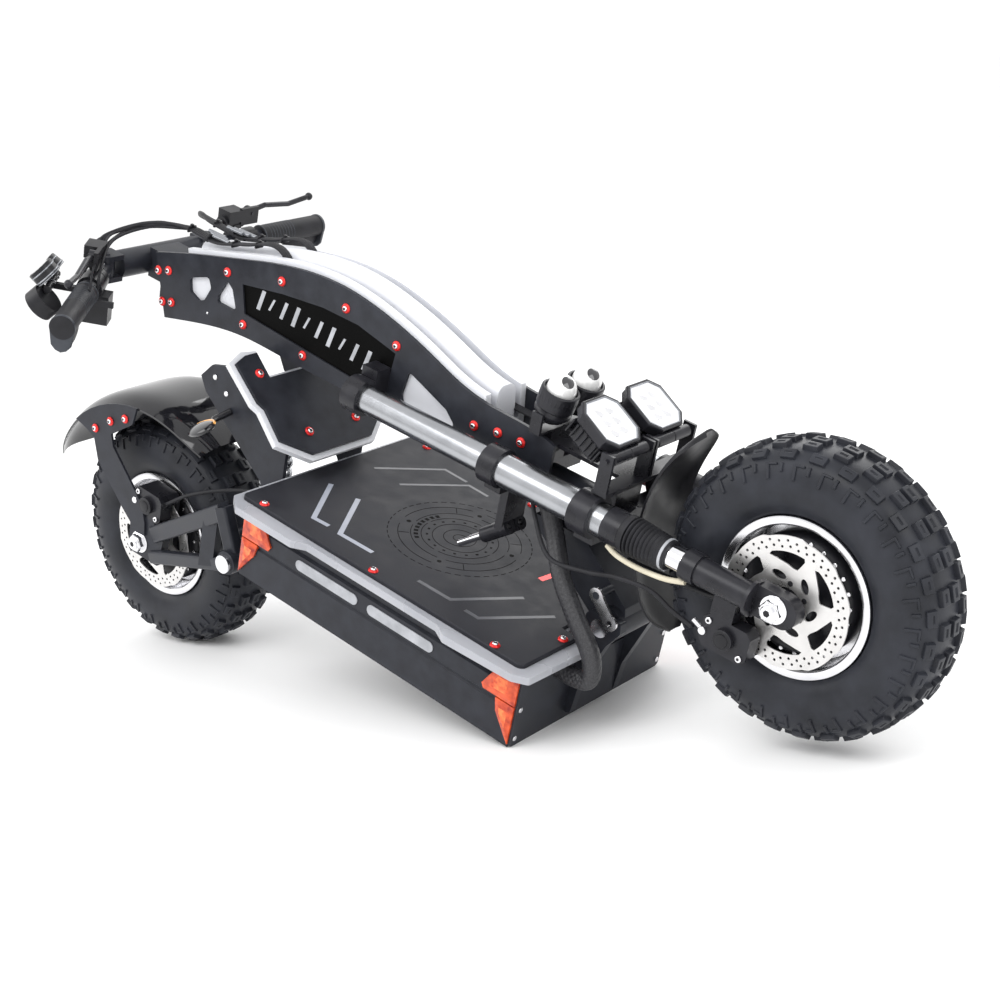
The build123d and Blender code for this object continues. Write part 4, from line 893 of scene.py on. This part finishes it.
# Case, rim, glass, reflector, six beads, cooling fins and a pivot barrel.
def flood_lamp(side, name):
    bm = bmesh.new()
    tilt = radians(27.3)
    where = place((-281, side * 44, 405), (sin(tilt), 0, cos(tilt)), (cos(tilt), 0, -sin(tilt)))
    loft(bm, [(62, 62, 11, -18), (70, 68, 14, -14), (70, 68, 14, -4)], where)
    loft(bm, [(71.6, 69.6, 14, -4.5), (71.6, 69.6, 14, -1.2), (69.4, 67.4, 13.5, 0),
              (65, 63, 12.6, 0), (65, 63, 12.6, -2)], where, 0)
    loft(bm, [(65, 63, 12.6, -1.4), (64.6, 62.6, 12.5, 0.2), (62.4, 60.4, 12.2, 0.2),
              (61.6, 59.6, 12, -0.8)], where, 1, 2)
    loft(bm, [(44, 44, 8, -1.2), (40, 40, 8, -0.9)], where, 3)
    for k in range(3):
        for j in range(2):
            spot = where @ Matrix.Translation((-15 + 15 * k, -9 + 18 * j, -0.9))
            revolve(bm, [(6.5, 0), (6.2, 0.3), (4.5, 0.6), (0, 0.7)], spot, 20, 4)
    loft(bm, [(50, 52, 8, -43.5), (54, 56, 8, -40), (54, 56, 8, -17)], where)
    for k in range(7):
        spot = where @ Matrix.Translation((-25.5 + 8.2 * k, 0, -29))
        box(bm, (2.4, 63, 21), spot, 0, 0.5)
    box(bm, (10, 56, 12), where @ Matrix.Translation((33, 0, -20)), 0, 1.5)
    barrel = where @ Vector((41, 0, -12))
    for end in SIDES:
        drum(bm, barrel, barrel + SIDE * end * 33.8, 7.8, 0, 28, 1)
        drum(bm, barrel + SIDE * end * 33.5, barrel + SIDE * end * 37.6, 4.2, 5, 20)
    keys = ("anodised", "gauge", "lens", "glass", "chrome", "bright")
    add_piece("flood_lamp_" + name, bm, "flood_" + name, keys, ("flood_lamp_" + name,), 30)


def round_lamps():
    bm = bmesh.new()
    tilt = radians(11)
    for side in SIDES:
        where = place((-372, side * 25.2, 402), (sin(tilt), 0, cos(tilt)))
        case = [(0, -46.5), (9, -46.5), (10, -46), (14, -42), (17, -41), (23.5, -33), (24, -30),
                (22.5, -28), (22.5, -25), (24.5, -23), (24.8, -4), (24.6, -1), (23.4, 0),
                (21.5, 0), (20.6, -1.2), (20, -4), (0, -4)]
        revolve(bm, case, where, 56, 0)
        for k in range(30):
            a = 2 * pi * k / 30
            rib = where @ Matrix.Rotation(a, 4, "Z") @ Matrix.Translation((24.2, 0, -9))
            box(bm, (1.4, 2.2, 9), rib, 0, 0.4)
        # The ball's near-white colour is a painted reflection of the white surroundings on chrome.
        ball = [polar(18.9, a) for a in range(-8, 88, 6)]
        revolve(bm, ball + [(0, 18.9)], where, 48, 1)
        look = where @ Matrix.Rotation(radians(24), 4, "Y") @ Matrix.Rotation(radians(12), 4, "X")
        pupil = [polar(19.1, a) for a in (64, 70, 76, 82, 88)]
        revolve(bm, pupil + [(0, 19.1)], look, 40, 2)
    add_piece("round_lamps", bm, "round_lamps", ("anodised", "painted_reflection", "pupil"),
              ("round_lamps",), 40)


for side, name in SIDE_NAMES:
    flood_lamp(side, name)
round_lamps()


# ---- fork: ribbed boots, cable ties and caliper details

def bellows():
    start = -204.5
    end = -141.0
    ribs = 9
    first = 8.6
    collars = 17
    pitch = (end - start - collars) / ribs
    for side, name in SIDE_NAMES:
        bm = bmesh.new()
        where = place(fork(start, side * LEG_Y), fork(1) - fork(0))
        profile = [(15, 0), (22.6, 0), (23.4, 0.8), (23.4, 8)]
        for k in range(ribs):
            crest = 24 - 0.42 * k
            z = first + pitch * k
            profile += [(19.4, z), (crest - 0.9, z + pitch * 0.3), (crest, z + pitch * 0.5),
                        (crest - 0.9, z + pitch * 0.7)]
        z = first + pitch * ribs
        profile += [(18.6, z), (18.4, z + 0.6), (18.4, end - start - 0.6), (17.6, end - start),
                    (14.2, end - start)]
        revolve(bm, profile, where, 48, 0)
        tie = [(18.4, z + 2), (19.3, z + 2.1), (19.3, z + 5.4), (18.4, z + 5.5)]
        revolve(bm, tie, where, 36, 1)
        box(bm, (4, 5, 4), where @ Matrix.Translation((19.8, 0, z + 3.8)), 1, 0.5)
        piece = add_piece("bellows_" + name, bm, "fork_lower", ("rubber", "white"),
                          ("fork_bellows",), 24)
        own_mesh(piece)


def caliper_details(name, body, x0, x1, z0, z1):
    bm = bmesh.new()
    mx = (x0 + x1) / 2
    mz = (z0 + z1) / 2
    drum(bm, (mx, -84, mz), (mx, -90.5, mz), 12.6, 1, 28, 1.4)
    revolve(bm, [(8.5, 0), (8, 1), (6.5, 1.4), (0, 1.2)], place((mx, -90.5, mz), (0, -1, 0)), 24, 1)
    for x, z in ((x0 + 8, z1 - 8), (x1 - 8, z0 + 8)):
        drum(bm, (x, -84, z), (x, -87, z), 4.2, 0, 20)
        prism(bm, hexagon(2), 0.3, place((x, -87, z), (0, -1, 0)), 1, 0.1)
    drum(bm, (x0 + 3, -84, mz - 2), (x0 - 12, -84, mz + 4), 3.2, 0, 16)
    drum(bm, (x0 + 4, -79, mz - 2), (x0 + 4, -89, mz - 2), 5, 0, 20)
    add_piece(name, bm, body, ("bright", "plastic"))


bellows()
caliper_details("front_caliper_trim", "fork_lower", -80, -16, 221, 263)
caliper_details("rear_caliper_trim", "swingarm", -1040, -982, -70, -26)


# ---- folding bars: local X runs outward along the bar, local Z up in the chassis frame

RIGHT_BAR_TURN = radians(38)


def bar_place(side):
    outward = SIDE
    if side < 0:
        outward = (sin(RIGHT_BAR_TURN), -cos(RIGHT_BAR_TURN), 0)
    return place((-1134, side * 95, 286), (0, 0, 1), outward)


# A drum in the bar's frame; the middle coordinate is mirrored on the right bar.
def bar_drum(bm, side, start, end, radius, mat=0, steps=32, edge=0.8):
    where = bar_place(side)
    a, b = (where @ Vector((s, side * u, z)) for s, u, z in (start, end))
    drum(bm, a, b, radius, mat, steps, edge)


# Ribs of the grip's sleeve, its flange and its tear-drop end.
def grip_details(side, name):
    bm = bmesh.new()
    for k in range(9):
        s = 120 + 6 * k
        bar_drum(bm, side, (s, 0, 0), (s + 2.2, 0, 0), 16.9, 0)
    bar_drum(bm, side, (108.3, 0, 0), (111, 0, 0), 17.6, 0)
    end = bar_place(side) @ Matrix.Translation((231, 0, 0)) @ Matrix.Rotation(pi / 2, 4, "Y")
    drop = [polar(17.4, a) for a in range(70, 291, 10)]
    drop += [(26, -13.5), (33, -7.5), (36, 0), (33, 7.5), (26, 13.5)]
    prism(bm, drop, 4.6, end, 0, 1.2)
    bar_drum(bm, side, (235.5, 0, 0), (235.9, 0, 0), 3.4, 1, 24, 0.1)
    add_piece("grip_trim_" + name, bm, "bar_" + name, ("grip", "plastic"))


# Rings and glass of the two gauges, the horn's plate and rings, and two screws.
def display_details():
    bm = bmesh.new()
    gauges = (((84, 50, 12), (84, 66, 22), 20), ((128, 46, 22), (128, 60, 34), 19))
    for start, end, radius in gauges:
        a = Vector(start)
        b = Vector(end)
        run = (b - a).normalized()
        for back, reach, mat in ((0.0, 0.5, 0), (3.0, 0.9, 0), (12.0, 0.7, 0)):
            low = a + run * back
            bar_drum(bm, -1, low, low + run * 2.2, radius + reach, mat, 40)
        bar_drum(bm, -1, b, b + run * 0.6, radius - 1.5, 1, 40, 0.3)
        bar_drum(bm, -1, b + run * 0.6, b + run * 1.0, radius - 5, 2, 40, 0.2)
    horn = Vector((0, 14, -16)).normalized()
    low = Vector((134, 58, -20))
    bar_drum(bm, -1, low, low + horn * 1.5, 21, 3, 40)
    for k in range(3):
        foot = low + horn * (1.5 + 0.4 * k)
        bar_drum(bm, -1, foot, low + horn * (2 + 0.4 * k), 16 - 5 * k, 1, 32, 0.2)
    for s in (96, 116):
        bar_drum(bm, -1, (s, 40, 12), (s, 54, 12), 2.6, 4, 14)
    keys = ("gauge", "plastic", "pupil", "gloss", "bright")
    add_piece("display_trim", bm, "bar_right", keys)


# Bolts, hose collar and pivot about the brake lever's cylinder.
def lever_details(side, name):
    bm = bmesh.new()
    for s, u, z in ((38, 17, 38), (60, 17, 38), (38, 17, 48), (60, 17, 48)):
        bar_drum(bm, side, (s, u, z), (s, u + 1.4, z), 2.2, 1, 14, 0.3)
    bar_drum(bm, side, (28, 4, 32), (20, 4, 32), 5.6, 1, 24)
    bar_drum(bm, side, (66, 4, 32), (72, 4, 32), 8, 0, 24)
    for s in (49, 57):
        bar_drum(bm, side, (s, -8, 22), (s, -9.6, 22), 2.4, 1, 14, 0.3)
    for k in range(4):
        bar_drum(bm, side, (67 + 7 * k, 12, -20), (67 + 7 * k, 13.2, -20), 2.2, 0, 14, 0.3)
    add_piece("lever_trim_" + name, bm, "bar_" + name, ("plastic", "bright"))


for side, name in SIDE_NAMES:
    grip_details(side, name)
display_details()
for side, name in SIDE_NAMES:
    lever_details(side, name)


# ---- cables and hoses

def cable_piece(name, runs, body, key="rubber", replaced=(), swell=None, sides=12, per_span=8):
    bm = bmesh.new()
    for points, radius in runs:
        sweep(bm, smooth(points, per_span), radius, sides, 0, swell)
    return add_piece(name, bm, body, (key,), replaced, 50)


def braid(angle, distance):
    return 0.55 * max(sin(9 * angle + distance * 0.9), sin(9 * angle - distance * 0.9)) - 0.4


def loom():
    points = [(-254, -83, 88), (-228, -83.5, 88), (-207, -84, 97), (-212, -84, 128),
              (-250, -80, 166), (-285, -72, 199), (-318, -55, 236), (-346, -50, 279)]
    piece = cable_piece("loom", [(points, 12)], None, "braid", ("cable_loom",), braid, 54, 22)
    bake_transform(piece)


def front_hose():
    points = [(-356, -64, 276), (-334, -80, 258), (-290, -100, 232), (-232, -106, 244),
              (-192, -103, 256), (-150, -94, 257), (-120, -88, 244), (-92, -84, 236)]
    piece = cable_piece("front_hose", [(points, 2.8)], None, "rubber", ("brake_hoses",))
    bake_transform(piece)
    spots = ((-222, -20, 22), (-206, -25, 27), (-182, -26, 29), (-158, -25, 28), (-134, -22, 25),
             (-112, -16, 19))
    points = [fork(s, drop * 0.4 - LEG_Y, -lift) for s, drop, lift in spots]
    piece = cable_piece("motor_cable", [(points, 3.4)], None, "cream")
    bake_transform(piece)


def rear_hose():
    points = [(-741, -60, 70), (-800, -60, 62), (-862, -64, 42), (-930, -76, 6), (-979, -76, -33)]
    piece = cable_piece("rear_hose", [(points, 2.8)], None, "rubber", ("rear_hose",))
    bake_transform(piece)


# Cables along the top of the neck, seen from the side: distance forward and height.
NECK_ROUTE = ((-1046, 366), (-986, 366), (-930, 383), (-862, 401), (-806, 352), (-700, 330),
              (-362, 324))


# Bar cables: five tied together down each side of the neck's top, and three about the right
# controls, which join them.
def bar_cables():
    for side, name in SIDE_NAMES:
        lead = [(-1124, -117, 318), (-1133, -98, 333), (-1102, -50, 355)]
        if side > 0:
            lead = [(-1138, 117, 318), (-1142, 86, 334), (-1102, 50, 355)]
        runs = []
        for gap, radius in ((21, 2.3), (27, 2.3), (24, 2.6), (18.6, 1.8), (29.6, 1.8)):
            step = gap - 24
            rise = 0.8 * step + (2 if gap == 24 else 0)
            start = [(x + step, y - side * step, z + rise) for x, y, z in lead]
            inside = [(x, side * gap, z) for x, z in NECK_ROUTE]
            runs.append((start + inside, radius))
        if side < 0:
            neck = [(-1098, -46, 352), (-1046, -22, 364)]
            runs.append(([(-1084, -156, 246), (-1118, -152, 236), (-1150, -128, 254),
                          (-1156, -98, 292), (-1134, -66, 334)] + neck, 2.2))
            runs.append(([(-1090, -150, 258), (-1062, -166, 288), (-1074, -152, 318),
                          (-1108, -104, 338)] + neck, 2.0))
            runs.append(([(-1046, -192, 300), (-1068, -170, 322), (-1100, -130, 330),
                          (-1124, -92, 340)] + neck, 1.6))
        piece = cable_piece("bar_cables_" + name, runs, None, "rubber", ("brake_hoses",),
                            None, 10, 10)
        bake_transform(piece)
    bm = bmesh.new()
    for side in SIDES:
        for x, z in ((-1040, 366), (-1000, 366), (-950, 376), (-905, 391)):
            box(bm, (3.2, 15, 9), place((x, side * 24, z + 0.5), (0.1, 0, 1)), 0, 1.2)
            box(bm, (4.4, 4.4, 4), place((x, side * 24, z + 5.5), (0.1, 0, 1)), 0, 0.6)
        for k in range(3):
            a = (-1012 + 9 * k, side * (17 + 4 * k), 373)
            b = (-980 + 9 * k, side * (17 + 4 * k), 374)
            drum(bm, a, b, 2.9, 1, 16)
    add_piece("cable_ties", bm, "front_frame", ("plastic", "gauge"))


loom()
front_hose()
rear_hose()
bar_cables()


# ---- rear shock: a coil spring that rides on the deck

def shock_spring():
    top = Vector((-848.4, 0, 140))
    low = Vector((-837.2, 0, -21.2))
    axis = (low - top).normalized()
    where = place(top, axis)
    steps = 24
    count = 6 * steps
    line = []
    for k in range(count + 1):
        a = 2 * pi * k / steps
        t = 30.4 + (129.8 - 4.2 - 30.4) * k / count
        line.append(where @ Vector((20.5 * cos(a), 20.5 * sin(a), t)))
    bm = bmesh.new()
    sweep(bm, line, 4, 12)
    piece = add_piece("spring", bm, "deck", ("silver",), ("shock_spring",), 60)
    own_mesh(piece)


shock_spring()


# ---- floor, light and camera

def make_floor():
    mesh = bpy.data.meshes.new("floor")
    size = 30.0
    level = -0.0005
    corners = [(x * size, y * size, level) for x, y in ((-1, -1), (1, -1), (1, 1), (-1, 1))]
    mesh.from_pydata(corners, [], [(0, 1, 2, 3)])
    floor = link(bpy.data.objects.new("floor", mesh))
    mesh.materials.append(surface("pale_floor", (0.90, 0.90, 0.90), (0.93, 0.93, 0.93),
                                  (0.6, 0.75), cloud=2, grain=60, depth=0.2))


def make_light(name, spot, target, size, power):
    data = bpy.data.lights.new(name, "AREA")
    data.shape = "RECTANGLE"
    data.size = size[0]
    data.size_y = size[1]
    data.energy = power
    lamp = link(bpy.data.objects.new(name, data))
    lamp.location = spot
    lamp.rotation_euler = (Vector(target) - Vector(spot)).to_track_quat("-Z", "Y").to_euler()


def make_world():
    world = bpy.data.worlds.new("studio")
    world.use_nodes = True
    background = world.node_tree.nodes["Background"]
    background.inputs["Color"].default_value = (1.0, 1.0, 1.0, 1)
    background.inputs["Strength"].default_value = 1.12
    bpy.context.scene.world = world
    bpy.context.scene.view_settings.view_transform = "Standard"
    bpy.context.scene.view_settings.look = "None"


# The photo's view, from azimuth, elevation and roll; azimuth 0 looks along +Y.
CAMERA_AT = (1.55616, -1.66666, 0.79775)
CAMERA_AZIMUTH = 41.442
CAMERA_ELEVATION = 13.677
CAMERA_ROLL = -6.809
CAMERA_LENS = 63.366


def make_camera():
    az = radians(CAMERA_AZIMUTH)
    el = radians(CAMERA_ELEVATION)
    roll = radians(CAMERA_ROLL)
    back = Vector((sin(az) * cos(el), -cos(az) * cos(el), sin(el)))
    right = Vector((cos(az), sin(az), 0))
    up = back.cross(right)
    across = right * cos(roll) + up * sin(roll)
    upward = up * cos(roll) - right * sin(roll)
    data = bpy.data.cameras.new("camera")
    data.lens = CAMERA_LENS
    data.sensor_width = 36
    data.shift_x = -0.0016
    data.shift_y = 0.0008
    data.clip_start = 0.05
    data.clip_end = 40
    camera = link(bpy.data.objects.new("camera", data))
    turn = Matrix((across, upward, back)).transposed().to_4x4()
    camera.matrix_world = Matrix.Translation(CAMERA_AT) @ turn
    bpy.context.scene.camera = camera


make_floor()
make_world()
# Name, place, target, width and height in metres, and power in watts.
for lamp in (("key", (0.2, -2.6, 3.2), (0, 0, 0.3), (2.6, 1.8), 60),
             ("front", (3.0, -0.4, 1.9), (0.2, 0, 0.3), (1.8, 1.8), 28),
             ("fill", (-2.6, -1.8, 2.0), (-0.3, 0, 0.3), (2.2, 1.6), 26),
             ("back", (-0.4, 2.8, 2.4), (0, 0, 0.3), (2.8, 1.4), 36)):
    make_light(*lamp)
make_camera()
